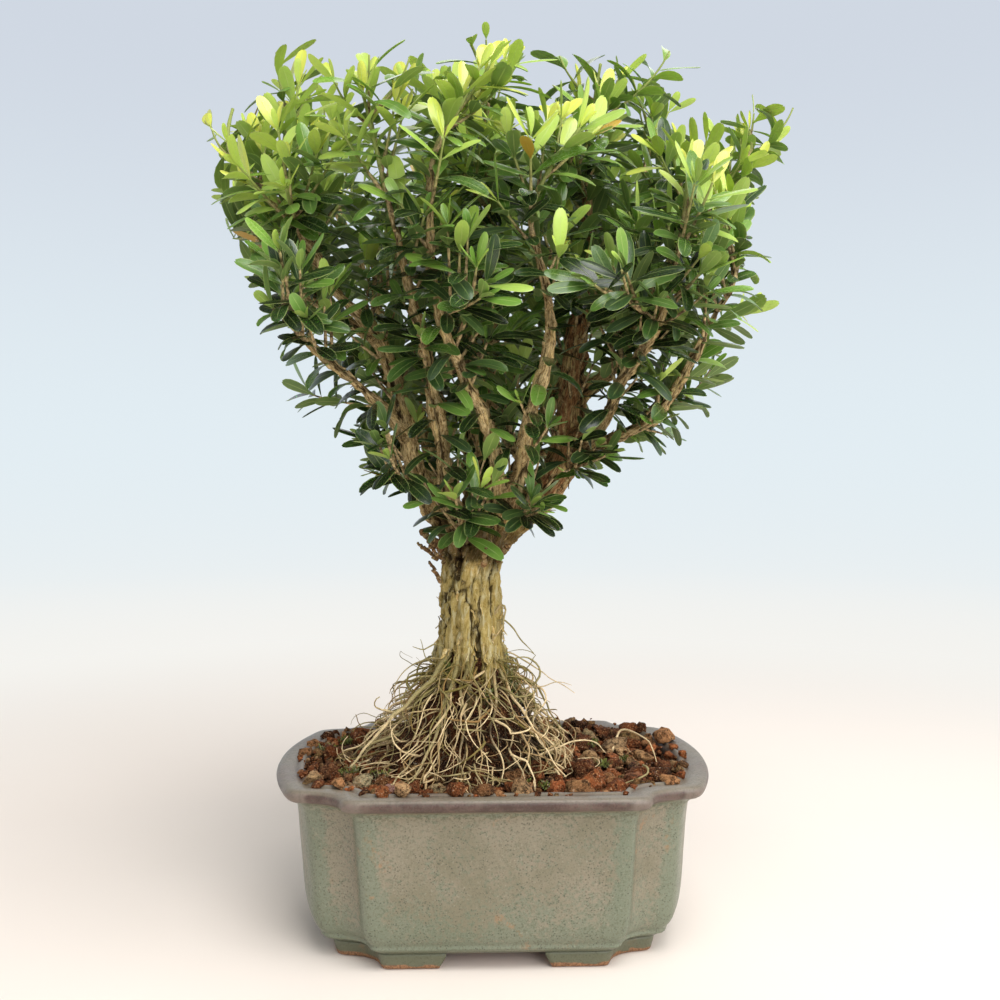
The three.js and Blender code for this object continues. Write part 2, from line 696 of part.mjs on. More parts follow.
function buildTwig([limbName, place, ...tipPlace], index, random) {
  const owner = `twig${index}`;
  const tip = vec(...tipPlace);
  let path = twigPath(limbName, place, tip);
  for (let attempt = 0; attempt < 40 && !pathIsFree(path, owner); attempt += 1) {
    const shift = vec(random() - 0.5, random() - 0.5, random() - 0.5).multiplyScalar(4 + attempt * 0.5);
    path = twigPath(limbName, place, tip.clone().add(shift));
  }
  const solids = [stem(path, 4, Math.PI / 4)];
  const points = path.map(([p, r]) => [p.x, p.y, p.z, r]);
  const total = path.slice(1).reduce((sum, [p], i) => sum + p.distanceTo(path[i][0]), 0);
  occupyPath(path, owner);
  const pairs = Math.max(3, Math.round((total - 4) / PAIR_STEP));
  const first = random() * Math.PI;
  for (let pair = 0; pair < pairs; pair += 1) {
    const last = pair === pairs - 1;
    const share = last ? 0.985 : 0.2 + (0.76 * pair) / (pairs - 1);
    const spot = alongLimb(points, share);
    const across = Math.abs(spot.along.z) > 0.9 ? vec(1, 0, 0) : vec(0, 0, 1);
    across.addScaledVector(spot.along, -across.dot(spot.along)).normalize();
    for (const half of [0, 1]) {
      let done = false;
      for (let attempt = 0; attempt < 7 && !done; attempt += 1) {
        const spread = (last ? 0.5 : 0.95) + (random() - 0.5) * 0.2 + (attempt > 2 ? 0.2 * random() : 0);
        const turn = first + pair * 1.5708 + half * Math.PI + (random() - 0.5) * (0.3 + attempt * 0.28);
        const outward = across.clone().applyAxisAngle(spot.along, turn);
        const axis = spot.along.clone().multiplyScalar(Math.cos(spread))
          .addScaledVector(outward, Math.sin(spread)).normalize();
        const face = spot.along.clone().multiplyScalar(0.8).add(vec(0, 0, 0.6));
        face.addScaledVector(axis, -face.dot(axis)).normalize();
        const size = (0.86 + random() * 0.26) * (last ? 0.9 : 1) * (attempt > 4 ? 0.82 : 1);
        const foot = spot.point.clone().addScaledVector(axis, -LEAF_SINK);
        const droop = 0.25 + random() * 0.45;
        const rings = leafRings(foot, axis, face, LEAF_LENGTH * size, LEAF_WIDTH * size, droop);
        const samples = leafSamples(rings);
        const free = samples.every(([p, s]) => isFree(p, LEAF_CLEARANCE / 2, owner, s < 0.75 ? 0 : 1.3));
        if (free) {
          samples.forEach(([p, s]) => s > 0.5 && occupy(p, LEAF_CLEARANCE / 2, owner));
          solids.push(leafSolid(rings));
          done = true;
        }
      }
    }
  }
  return outerBody(joinAll(solids));
}

function mesh(name, solid, color, roughness, metalness = 0) {
  const material = new THREE.MeshStandardMaterial({ color, roughness, metalness });
  const piece = new THREE.Mesh(geometryFrom(solid), material);
  piece.name = name;
  return piece;
}

const tree = buildTree(makeRandom(SEED));
const bonsai = new THREE.Group();
bonsai.name = 'harland_boxwood_bonsai';
bonsai.add(mesh('pot', buildPot(), 0x7d8b7c, 0.35));
bonsai.add(mesh('drain_net_left', buildNet(-1), 0x1c1d1e, 0.6));
bonsai.add(mesh('drain_net_right', buildNet(1), 0x1c1d1e, 0.6));
bonsai.add(mesh('soil', buildSoil(makeRandom(SEED + 1)), 0x6b3f2a, 0.95));
bonsai.add(mesh('trunk_and_roots', tree, 0xa08d68, 0.85));
TWIGS.forEach((twig, i) => {
  const name = `leafy_twig_${String(i + 1).padStart(2, '0')}`;
  bonsai.add(mesh(name, buildTwig(twig, i, makeRandom(SEED + 100 + i)), 0x3f7030, 0.4));
});

// The origin goes to the ground under the middle of pot and crown together.
const middle = new THREE.Box3().setFromObject(bonsai).getCenter(vec(0, 0, 0));
bonsai.children.forEach((piece) => piece.geometry.translate(-middle.x, -middle.y, 0));

export default bonsai;
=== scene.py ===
"""Harland boxwood bonsai in a celadon pot with indented corners.

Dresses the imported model: glazed pot, drain nets, granular soil, fluted trunk with its limbs,
a skirt of surface roots and 55 leafy twigs. Shapes are worked out in millimetres from the
ground under the middle of the pot, and laid into the row frame in metres.
"""

from math import ceil, cos, hypot, pi, radians, sin, sqrt, tau

import bmesh
import bpy
import numpy as np
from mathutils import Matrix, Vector


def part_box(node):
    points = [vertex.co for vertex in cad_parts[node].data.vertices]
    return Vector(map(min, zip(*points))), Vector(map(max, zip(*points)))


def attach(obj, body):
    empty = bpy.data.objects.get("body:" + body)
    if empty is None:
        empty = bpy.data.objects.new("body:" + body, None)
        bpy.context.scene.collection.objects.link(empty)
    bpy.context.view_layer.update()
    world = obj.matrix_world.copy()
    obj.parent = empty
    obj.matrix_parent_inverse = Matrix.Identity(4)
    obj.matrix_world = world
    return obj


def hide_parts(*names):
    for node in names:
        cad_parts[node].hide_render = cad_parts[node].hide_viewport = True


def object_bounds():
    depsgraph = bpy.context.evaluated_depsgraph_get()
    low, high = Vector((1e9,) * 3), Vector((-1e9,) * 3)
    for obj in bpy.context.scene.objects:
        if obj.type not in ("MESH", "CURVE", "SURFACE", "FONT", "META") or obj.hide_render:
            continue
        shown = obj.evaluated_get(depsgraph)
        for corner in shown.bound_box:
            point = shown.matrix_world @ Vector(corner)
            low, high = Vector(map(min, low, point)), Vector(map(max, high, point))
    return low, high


bl_info = {
    "name": "Harland Boxwood Bonsai",
    "version": (1, 0, 0),
    "blender": (4, 5, 0),
    "location": "3D View > Sidebar > Bonsai",
    "description": "Builds a potted boxwood bonsai piece by piece",
    "category": "Object",
}

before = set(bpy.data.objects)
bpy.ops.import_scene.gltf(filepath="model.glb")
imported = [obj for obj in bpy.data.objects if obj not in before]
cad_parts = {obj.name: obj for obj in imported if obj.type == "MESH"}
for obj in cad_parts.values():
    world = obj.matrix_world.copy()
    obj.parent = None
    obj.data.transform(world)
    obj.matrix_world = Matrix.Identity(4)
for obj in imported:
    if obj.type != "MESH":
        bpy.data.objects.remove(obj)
CAD_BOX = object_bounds()
POT_LOW, POT_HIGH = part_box("pot")
POT_MIDDLE = np.array([(POT_LOW.x + POT_HIGH.x) / 2, (POT_LOW.y + POT_HIGH.y) / 2, 0.0])
MM = 0.001
UP = np.array([0.0, 0.0, 1.0])

# Pot plan at each level: height, front ridge x, front y, side ridge x, side ridge y and side
# middle x.
POT_OUTER = [
    [4.2, 32.5, 37.0, 45.5, 27.0, 50.0],
    [5.4, 35.4, 40.0, 49.4, 30.2, 55.0],
    [8.5, 37.4, 41.8, 52.2, 32.2, 58.4],
    [14.0, 39.2, 43.2, 54.0, 33.4, 61.2],
    [30.0, 40.2, 44.2, 55.0, 34.2, 62.6],
    [44.0, 41.0, 45.2, 56.2, 35.0, 63.8],
    [48.6, 42.2, 46.8, 58.0, 36.4, 65.8],
    [50.4, 44.4, 49.2, 60.8, 38.6, 69.0],
    [52.2, 45.0, 50.0, 61.6, 39.3, 70.0],
    [53.6, 44.4, 49.4, 61.0, 38.8, 69.4],
]
POT_INNER = [
    [54.0, 42.6, 47.4, 58.8, 37.0, 67.2],
    [53.2, 39.6, 44.4, 55.4, 34.4, 63.6],
    [50.6, 37.6, 42.2, 53.0, 32.6, 61.0],
    [14.0, 34.6, 38.6, 49.4, 29.4, 56.6],
    [9.2, 30.6, 34.6, 44.6, 25.6, 51.4],
]
FOOT_TOP = [35.0, 39.6, 48.8, 29.6, 53.6]
FOOT_GROUND = [34.0, 38.8, 47.8, 28.8, 52.4]
FOOT_JOINT = 4.9
FOOT_FRONT_GAP = 17.0
FOOT_SIDE_GAP = 15.0
FOOT_SLOPE = 2.2
FOOT_WALL = 7.0

# Power that flattens the hollow corners.
COVE_POWER = 0.9

# Heights of the lip's lower and upper edge.
LIP_LOW, LIP_HIGH = 48.6, 53.4

# Bead and groove round the foot of the wall: height, how far out, how wide.
BEADS = [(6.9, 0.55, 0.55), (8.3, -0.25, 0.6)]

DRAIN_X = 24.0
DRAIN_RADIUS = 2.7
DRAIN_SIDES = 32
INNER_EDGE, *SOIL_WALL = POT_INNER[2]
SOIL_EDGE = 50.4
SOIL_RISE = 5.2
TRUNK = np.array([-7.2, 0.0])

# Fired clay colours of the granules, with how often each comes.
GRANULE_TONES = [
    (0.2, (152, 88, 50)), (0.2, (120, 66, 36)), (0.14, (190, 138, 92)), (0.13, (86, 50, 30)),
    (0.08, (140, 104, 68)), (0.07, (58, 38, 26)), (0.07, (178, 144, 102)), (0.05, (118, 96, 60)),
    (0.06, (98, 70, 42)),
]

# Granules that stand out, tan pebbles and a pink pumice among them: x, y, radius, colour.
CHOSEN_GRANULES = [
    (-31.4, -31.5, 3.3, (190, 146, 132)), (-41.5, -25.5, 3.9, (162, 150, 114)),
    (-44.0, -30.5, 2.6, (172, 150, 112)), (-16.5, -30.5, 2.9, (166, 148, 108)),
    (-11.5, -29.5, 2.7, (170, 142, 104)), (18.4, -31.0, 4.0, (146, 80, 46)),
    (28.5, -29.8, 4.9, (156, 88, 48)), (43.5, -25.2, 3.9, (130, 82, 56)),
    (42.0, 12.0, 4.8, (190, 158, 116)), (51.0, 3.0, 3.8, (172, 132, 90)),
    (-47.5, 4.0, 3.6, (120, 112, 80)), (-53.0, -12.0, 3.4, (120, 80, 54)),
    (34.0, 20.0, 4.4, (176, 160, 118)), (24.0, 24.0, 3.6, (150, 132, 84)),
]

# Cushions of moss: x, y, reach and, for those on the roots, their height.
MOSS_SPOTS = [
    (-46, -14, 3.8), (-36, -18, 3.2), (15.4, -31.3, 2.4), (33, 14, 4.4), (-56, 12, 3.4),
    (-25, -31, 2.0), (36, -9, 2.4), (22, 32, 3.6), (-30, 30, 3.4), (9, -29, 2.0),
    (-50, 20, 3.0), (44, -2, 2.4), (3.4, -4.5, 2.0, 86), (5.2, -6, 2.4, 80),
    (7.5, -3, 2.2, 75), (-1.5, -13, 1.8, 75), (-14.5, -9, 1.5, 84), (6, 6, 3.0, 80),
    (-16, 8, 3.0, 78),
]

# Limbs as x, y, z, radius, from the head of the trunk outwards.
LIMBS = {
    "left_main": [
        [-13.4, 1, 127, 4.6], [-20.5, -3, 137.7, 3.6], [-25.2, -7, 148.5, 3.2],
        [-27.8, -11, 162.8, 2.7], [-33, -14, 180.3, 2.2], [-38.1, -16, 192.3, 1.7],
        [-49.9, -19, 205.1, 1.4], [-55.1, -21, 214.8, 1.2], [-62.2, -22, 225.2, 1.1],
        [-71, -22, 235.1, 1], [-77.8, -21, 241.6, 0.9],
    ],
    "left_fore": [
        [-26.4, -9, 156.5, 2], [-31.9, -17, 164.8, 1.7], [-41.1, -28, 174.5, 1.4],
        [-49.4, -36, 180.9, 1.1], [-54.8, -41, 185.9, 0.9],
    ],
    "left_low": [
        [-37.5, -16, 189.8, 1.6], [-45.6, -10, 195.5, 1.3], [-59, -2, 204.2, 1.1],
        [-69.9, 4, 213.6, 1], [-77.5, 8, 224.5, 0.9],
    ],
    "front_left": [
        [-8, -2, 116, 3.6], [-10, -6, 129.1, 3.4], [-14.8, -13, 142.2, 2.4],
        [-17.7, -22, 164.9, 1.9], [-20.2, -30, 180.1, 1.6], [-22.7, -36, 192.8, 1.3],
        [-26.5, -42, 206.4, 1.1], [-29.9, -46, 221.2, 0.9],
    ],
    "front_mid": [
        [-2.3, -6, 128.4, 3.4], [1.1, -14, 142.2, 2.4], [-2.6, -24, 162.4, 1.9],
        [-10, -33, 178.4, 1.6], [-15.2, -40, 189.4, 1.4], [-18, -46, 202.9, 1.2],
        [-19, -50, 217.6, 1], [-18.4, -50, 233, 0.9],
    ],
    "front_right": [
        [1.4, -4, 129.6, 3.6], [6.9, -12, 142.2, 2.6], [9.3, -20, 154.8, 2.2],
        [11.9, -28, 169.9, 1.9], [15.3, -34, 179.9, 1.6], [16.1, -39, 191.2, 1.3],
        [14.4, -42, 202.3, 1.1], [10.4, -44, 216.3, 0.9],
    ],
    "right_main": [
        [4.3, 3, 129.2, 5.2], [15.2, 2, 139.5, 4.4], [23, 1, 150.8, 4.1], [25, 1, 161.7, 3.8],
        [26.4, 2, 175, 3.4], [27.8, 3, 190, 2.8], [29.5, 4, 205, 2.2], [30.8, 4, 221.5, 1.7],
        [31.6, 3, 239.4, 1.3], [32.6, 1, 260.1, 0.9],
    ],
    "right_low": [
        [22.3, 0, 149.2, 2.6], [32.9, -8, 156, 2], [46.2, -16, 161.9, 1.6],
        [53.9, -22, 169.7, 1.4], [61.1, -26, 183, 1.2], [66.1, -28, 193.7, 1],
        [71.6, -28, 203.5, 0.9],
    ],
    "right_fore": [
        [24.8, -1, 158.4, 2.4], [33.9, -13, 162.9, 1.9], [38.6, -24, 174.5, 1.6],
        [43.3, -33, 183.1, 1.3], [48.1, -40, 192.1, 1.1], [50.8, -44, 203.7, 0.9],
    ],
    "right_far": [
        [27, 2, 171.7, 2.6], [39.9, 4, 182.5, 2], [49.4, 5, 198.6, 1.7], [56.2, 6, 210.5, 1.4],
        [66.9, 6, 225.5, 1.2], [74.7, 5, 240.3, 1.1], [85.1, 4, 252.4, 0.9],
    ],
    "back_left": [
        [-11.4, 7, 130, 4], [-17.6, 16, 145, 3], [-24.2, 28, 164.3, 2.4], [-33.5, 40, 188.5, 1.9],
        [-44.6, 49, 215.8, 1.5], [-54.6, 54, 240.6, 1.2], [-60.2, 56, 260.6, 0.9],
    ],
    "back_mid": [
        [-7, 4, 116, 3.8], [-6, 9, 130.9, 4], [-7.3, 22, 148.4, 2.8], [-7.9, 38, 173.8, 2.2],
        [-9.4, 52, 204.5, 1.8], [-12.8, 62, 236.3, 1.3], [-15.5, 62, 263.2, 0.9],
    ],
    "back_right": [
        [0.7, 8, 130.9, 4.2], [10.1, 20, 148.4, 3], [20.9, 34, 170, 2.4], [33.8, 46, 196.8, 1.9],
        [45.3, 54, 225, 1.5], [54.9, 57, 249.1, 1.2], [59.7, 56, 264.3, 0.9],
    ],
    "back_far": [
        [-7.3, 18, 145, 2.4], [-3.6, 34, 159.2, 2], [4.2, 54, 178.5, 1.6], [12.6, 68, 203.1, 1.3],
        [19.1, 74, 232.3, 1.1], [23.3, 76, 252.2, 0.9],
    ],
    "centre": [
        [-4.1, 2, 130.3, 4.4], [-2.7, 6, 148.5, 3.2], [-1.3, 8, 172, 2.6], [0, 8, 198.8, 2.1],
        [0.3, 6, 225, 1.6], [-0.8, 4, 247.6, 1.2], [-1.5, 2, 269.8, 0.9],
    ],
}

# Limbs that run down through the trunk as its flutes, with the angle each takes round it.
FLUTES = {
    "left_main": 192, "front_mid": 258, "front_right": 312, "right_main": 8,
    "back_right": 66, "back_left": 130, "centre": 0,
}

# Trunk rings below the limbs: height, ring radius, flute radius.
TRUNK_RINGS = [
    [36.0, 9.0, 5.0], [53.0, 12.4, 5.4], [66.0, 9.2, 5.1], [83.0, 6.4, 4.6], [101.0, 4.8, 4.4],
    [117.0, 5.0, 4.6],
]

# Height at which the flutes stand at their own angles; they wind above and below it.
TWIST_HEIGHT = 92

# Limbs are fused with the trunk down to the first radius, and loose tubes below the second.
FUSED_RADIUS = 1.75
LOOSE_RADIUS = 2.3
ROOT_STEP = 1.6

# Dead twig stubs at the head of the trunk: foot, tip, radius.
STUBS = [
    ([-15.5, -3, 121], [-23.5, -5, 128.5], 1.3), ([-15.0, -4, 118], [-20.5, -8, 124], 0.8),
    ([-17, -5, 112], [-20.5, -6, 119], 0.7), ([1.2, -7, 119], [5.0, -8, 124.5], 1.0),
    ([-3, -11, 118], [-2.5, -14.5, 123.5], 0.8), ([-18, 2, 119], [-25, 4, 124], 0.8),
    ([-15, -6, 125], [-21, -9, 126.5], 1.0),
]

# Thick roots and strays that stand out: their path, radius and greenness.
NAMED_ROOTS = [
    ([[-14, -6, 89], [-17, -9, 85], [-23, -12.5, 78.5], [-31, -15, 71], [-39, -17, 62],
      [-45, -19, 55.5]], 1.05, 0.5),
    ([[-11, -9, 90], [-13, -13, 81], [-16, -17, 73], [-18.5, -21, 66], [-22, -25, 59],
      [-25.5, -29, 53]], 0.95, 0.6),
    ([[-8, -11, 86], [-10, -15, 78], [-9, -20, 68], [-11, -24, 60], [-9, -28, 54]], 0.7, 0.4),
    ([[2, -7, 84], [6, -12, 76], [12, -17, 68], [16, -22, 61], [22, -27, 54]], 0.6, 0.2),
    ([[0, -8, 84], [1, -14, 75], [-1, -20, 66], [3, -25, 59], [2, -29, 53.5]], 0.6, 0.3),
    ([[-12, 2, 84], [-22, 1, 76], [-32, -2, 68], [-41, -6, 61], [-49, -6, 57]], 0.6, 0.3),
    ([[2, 4, 84], [10, 9, 74], [19, 14, 64], [27, 20, 56]], 1.0, 0.4),
    ([[-14, 6, 84], [-22, 12, 73], [-30, 20, 63], [-38, 27, 54]], 1.0, 0.4),
    ([[-8, 9, 84], [-9, 16, 74], [-6, 24, 63], [-4, 31, 54]], 1.0, 0.4),
    ([[0.2, -5, 101], [2.4, -5.5, 104.5], [4.2, -6, 103], [3.4, -7, 98], [0.2, -9, 93],
      [-3.5, -10.5, 88]], 0.45, 0.1),
    ([[0.3, -5, 99], [3.5, -5, 99.6], [7, -4, 96.5], [10, -3, 92.5], [13.6, -2, 88]],
     0.4, 0.7),
    ([[3, -4, 89], [6.5, -4, 88.2], [13, -3.5, 84.5], [20, -3, 79.5], [27, -3, 75]],
     0.33, 0.1),
    ([[13, -3, 77], [18, -3, 77.6], [22, -3, 78.6], [26, -3, 77.6]], 0.24, 0.2),
    ([[-15, -5, 86.5], [-20, -5, 87], [-26, -4.5, 84.5], [-31, -4, 81], [-32.6, -4, 75]],
     0.36, 0.2),
    ([[-15, -6, 90], [-18, -7, 92], [-22, -7, 90.5], [-26, -7, 91.3]], 0.36, 0.6),
    ([[-16, -5, 84], [-21, -6, 87], [-23.5, -6, 93.5]], 0.3, 0.7),
    ([[41, 8, 52.6], [44, 13, 58], [48, 10, 59], [52.5, 2, 57.5], [54, -6, 52]], 0.5, 0.05),
    ([[14, -14, 57], [22, -12, 60], [32, -8, 60], [37, -7, 56]], 0.45, 0.1),
    ([[47, -20, 55.5], [48, -25, 55.5], [45, -30, 54.5], [39, -32, 53]], 0.45, 0.7),
]

# Leafy twigs: limb, place along it, tip x, y, z.
TWIGS = [
    ("left_main", 1, -82, -10, 262), ("left_fore", 1, -63, -49, 194),
    ("left_low", 1, -81, 27, 246), ("front_left", 1, -37, -55, 252),
    ("front_mid", 1, -2, -46, 260), ("front_right", 1, 23, -53, 244),
    ("right_main", 1, 35, -3, 280), ("right_low", 1, 74, -24, 228),
    ("right_fore", 1, 54, -50, 233), ("right_far", 1, 86, 6, 262),
    ("back_left", 1, -63, 46, 269), ("back_mid", 1, -17, 46, 282),
    ("back_right", 1, 59, 40, 277), ("back_far", 1, 22, 65, 274),
    ("centre", 1, -7, -13, 282), ("front_left", 0.1, -12, -24, 140),
    ("front_right", 0.06, 12, -13, 138), ("left_main", 0.16, -33, -12, 146),
    ("right_main", 0.2, 27, -12, 148), ("back_left", 0.16, -30, 20, 152),
    ("back_right", 0.2, 24, 26, 154), ("back_mid", 0.68, 4, 46, 228),
    ("centre", 0.62, -27, 0, 223), ("right_far", 0.31, 65, 23, 195),
    ("front_left", 0.55, 4, -26, 190), ("right_main", 0.76, 45, 29, 235),
    ("back_left", 0.63, -39, 35, 237), ("right_main", 0.42, 13, 28, 195),
    ("left_main", 0.33, -40, 7, 187), ("right_fore", 0.5, 38, -21, 198),
    ("centre", 0.76, 2, 24, 256), ("back_right", 0.56, 35, 62, 218),
    ("back_mid", 0.85, -31, 72, 243), ("back_mid", 0.35, -25, 40, 186),
    ("front_mid", 0.65, -3, -56, 200), ("left_main", 0.76, -52, -1, 238),
    ("right_far", 0.66, 74, 27, 229), ("right_main", 0.61, 11, -19, 217),
    ("left_low", 0.49, -60, 19, 209), ("right_far", 0.7, 58, -8, 248),
    ("left_main", 0.55, -24, -27, 215), ("right_main", 0.84, 20, -25, 249),
    ("right_fore", 0.81, 26, -56, 201), ("centre", 0.74, -14, -19, 244),
    ("left_main", 0.8, -60, -44, 229), ("left_main", 0.9, -64, -6, 268),
    ("back_right", 0.79, 33, 41, 257), ("centre", 0.88, -25, 17, 272),
    ("back_far", 0.27, 21, 54, 181), ("centre", 0.36, -17, 11, 197),
    ("right_far", 0.45, 44, -21, 225), ("back_far", 0.78, 4, 78, 243),
    ("right_low", 0.33, 60, 0, 177), ("front_right", 0.25, 3, -8, 168),
    ("back_mid", 0.5, -18, 29, 215),
]
TWIG_RADIUS = 0.95

# Where the brightest new growth stands, seen from the front: x, z, reach, strength.
FRESH_PLACES = [
    (-83, 252, 22, 1.0), (-60, 270, 24, 1.0), (-13, 262, 12, 0.8), (88, 256, 28, 0.95),
    (-3, 281, 9, 0.9), (-17, 238, 9, 0.8), (62, 276, 12, 0.6), (22, 268, 10, 0.6),
    (-9, 133, 13, 0.55), (10, 127, 9, 0.75), (84, 208, 16, 0.6),
    (74, 232, 16, 0.5), (-30, 262, 12, 0.5),
]

# Tips of the single shoots that stand out of the crown, as seen from the front: x, z.
LONE_SHOOTS = [
    (-70, 286), (-97, 241), (-91, 262), (-51, 277), (-40, 286), (-27, 285), (-2, 291), (9, 288),
    (22, 286), (41, 284), (58, 288), (68, 281), (86, 268), (99, 270), (92, 258), (91, 214),
    (84, 203), (-84, 226), (-74, 202), (-60, 176), (72, 184), (56, 163), (-45, 160),
]

# Where limbs show between the leaves in front of them, seen from the front: x, z, reach.
CLEARINGS = [
    (20, 146, 8), (24, 156, 8), (26, 168, 8), (28, 181, 8), (29, 195, 7), (-27, 152, 6),
    (-30, 165, 6), (-34, 178, 6), (8, 150, 5), (11, 164, 5),
]

# The crown's edge seen from the front, on the upright plane through the pot's middle: x, z.
CROWN_EDGE = [
    (12, 120), (-21, 119), (-27, 130), (-38, 137), (-37, 145), (-39, 152), (-45, 160), (-46, 166),
    (-61, 173), (-60, 181), (-72, 188), (-70, 195), (-73, 204), (-76, 216), (-82, 223), (-86, 230),
    (-96, 237), (-97, 241), (-86, 242), (-89, 250), (-91, 261), (-79, 264), (-75, 266), (-71, 283),
    (-61, 286), (-56, 283), (-52, 271), (-47, 276), (-43, 284), (-38, 284), (-34, 279), (-29, 285),
    (-24, 284), (-20, 278), (-11, 283), (-7, 289), (-2, 291), (3, 286), (7, 289), (12, 283),
    (20, 285), (30, 282), (43, 283), (48, 281), (57, 287), (65, 284), (70, 262), (76, 261),
    (81, 264), (86, 269), (99, 269), (97, 256), (90, 247), (87, 239), (80, 226), (88, 217),
    (90, 209), (84, 203), (82, 195), (73, 188), (72, 175), (58, 167), (57, 159), (47, 152),
    (28, 145), (21, 138), (18, 130),
]

# Where the camera stands and which way it looks.
EYE = np.array([-9.5, -362.4, 149.6])
LOOK = (0.0331, 0.999, -0.0304)

# Seeds of the random draws.
SOIL_SEED, TRUNK_SEED, ROOT_SEED, TWIG_SEED = 411, 523, 631, 3100


# Colours, noise and curves

def paint(red, green, blue):
    """A colour given as seen, 0 to 255, as the shader wants it."""
    def open_up(value):
        value /= 255
        return value / 12.92 if value <= 0.04045 else ((value + 0.055) / 1.055) ** 2.4
    return (open_up(red), open_up(green), open_up(blue))


def ripple(places, seed):
    """Smooth noise from -1 to 1 at rows of x, y, z, with one lump to a unit."""
    places = np.asarray(places, float)
    cell = np.floor(places).astype(np.int64)
    part = places - cell
    part = part * part * (3 - 2 * part)
    total = np.zeros(len(places))
    for corner in range(8):
        step = np.array([corner & 1, corner >> 1 & 1, corner >> 2])
        key = (cell + step) @ np.array([73856093, 19349663, 83492791]) + seed * 7919
        key = ((key ^ (key >> 13)) * 1274126177) & 0xFFFFFFFF
        key = ((key ^ (key >> 16)) * 668265263) & 0xFFFFFFFF
        weight = np.prod(np.where(step, part, 1 - part), axis=1)
        total += weight * (((key >> 8) & 0xFFFF) / 32767.5 - 1)
    return total


def rough(places, octaves, seed):
    """Noise of several sizes laid over each other, from about -1 to 1."""
    total, share = 0.0, 1.0
    for octave in range(octaves):
        total = total + share * ripple(np.asarray(places) * 2 ** octave, seed + octave)
        share *= 0.5
    return total


def held(values):
    """The values held between 0 and 1."""
    return np.clip(values, 0, 1)


def unit(vectors):
    """The same directions at length one."""
    vectors = np.asarray(vectors, float)
    return vectors / np.maximum(np.linalg.norm(vectors, axis=-1, keepdims=True), 1e-9)


def depth_inside(ring, x, y):
    """How far places lie inside a closed outline, less than nothing when outside."""
    ring = np.asarray(ring, float)
    a, b = ring, np.roll(ring, -1, axis=0)
    place = np.stack([x, y], axis=-1)[..., None, :]
    run = b - a
    share = held(((place - a) * run).sum(-1) / (run ** 2).sum(-1))
    nearest = a + run * share[..., None]
    distance = np.linalg.norm(place - nearest, axis=-1).min(axis=-1)
    crosses = (a[:, 1] > place[..., 1]) != (b[:, 1] > place[..., 1])
    slope = (place[..., 1] - a[:, 1]) / np.where(run[:, 1] == 0, 1e-9, run[:, 1])
    left = crosses & (place[..., 0] < a[:, 0] + slope * run[:, 0])
    return np.where(left.sum(axis=-1) % 2 == 1, distance, -distance)


def seen_from_front(places):
    """Where the camera sees places on the upright plane through the pot's middle."""
    return EYE + (places - EYE) * (-EYE[1] / (places[..., 1:2] - EYE[1]))


def circle(radius, sides, x=0.0, y=0.0):
    """The plan of a circle, as rows of x, y."""
    turns = np.linspace(0, tau, sides + 1)[:-1]
    return np.column_stack([x + np.cos(turns) * radius, y + np.sin(turns) * radius])


def at_height(plan, height):
    """Rows of x, y laid at one height, or at a height for each row."""
    return np.column_stack([plan, np.full(len(plan), height)])


def smooth_rows(rows, step):
    """Rows along a smooth curve through the given ones, about step apart in the first three."""
    rows = np.asarray(rows, float)
    padded = np.vstack([2 * rows[0] - rows[1], rows, 2 * rows[-1] - rows[-2]])
    made = []
    for i in range(1, len(padded) - 2):
        a, b, c, d = padded[i - 1:i + 3]
        count = max(1, ceil(np.linalg.norm((c - b)[:3]) / step))
        t = np.linspace(0, 1, count, endpoint=False)[:, None]
        made.append(0.5 * (2 * b + (c - a) * t + (2 * a - 5 * b + 4 * c - d) * t ** 2
                           + (3 * b - a - 3 * c + d) * t ** 3))
    return np.vstack(made + [padded[-2:-1]])


def carried_frame(path):
    """Direction of travel and two crosswise directions that don't spin along a path."""
    travel = unit(np.gradient(path, axis=0))
    across = np.zeros_like(travel)
    carried = UP if abs(travel[0][2]) < 0.9 else np.array([1.0, 0.0, 0.0])
    for i, along in enumerate(travel):
        carried = unit(carried - along * carried.dot(along))
        across[i] = carried
    return travel, across, np.cross(travel, across)


def strip_faces(rows, columns, closed):
    """Four-sided faces over a sheet of points laid row after row."""
    row = np.arange(rows - 1)[:, None] * columns
    last = columns if closed else columns - 1
    here = np.arange(last)[None, :]
    there = (here + 1) % columns
    return np.stack([row + here, row + there, row + there + columns, row + here + columns],
                    axis=-1).reshape(-1, 4)


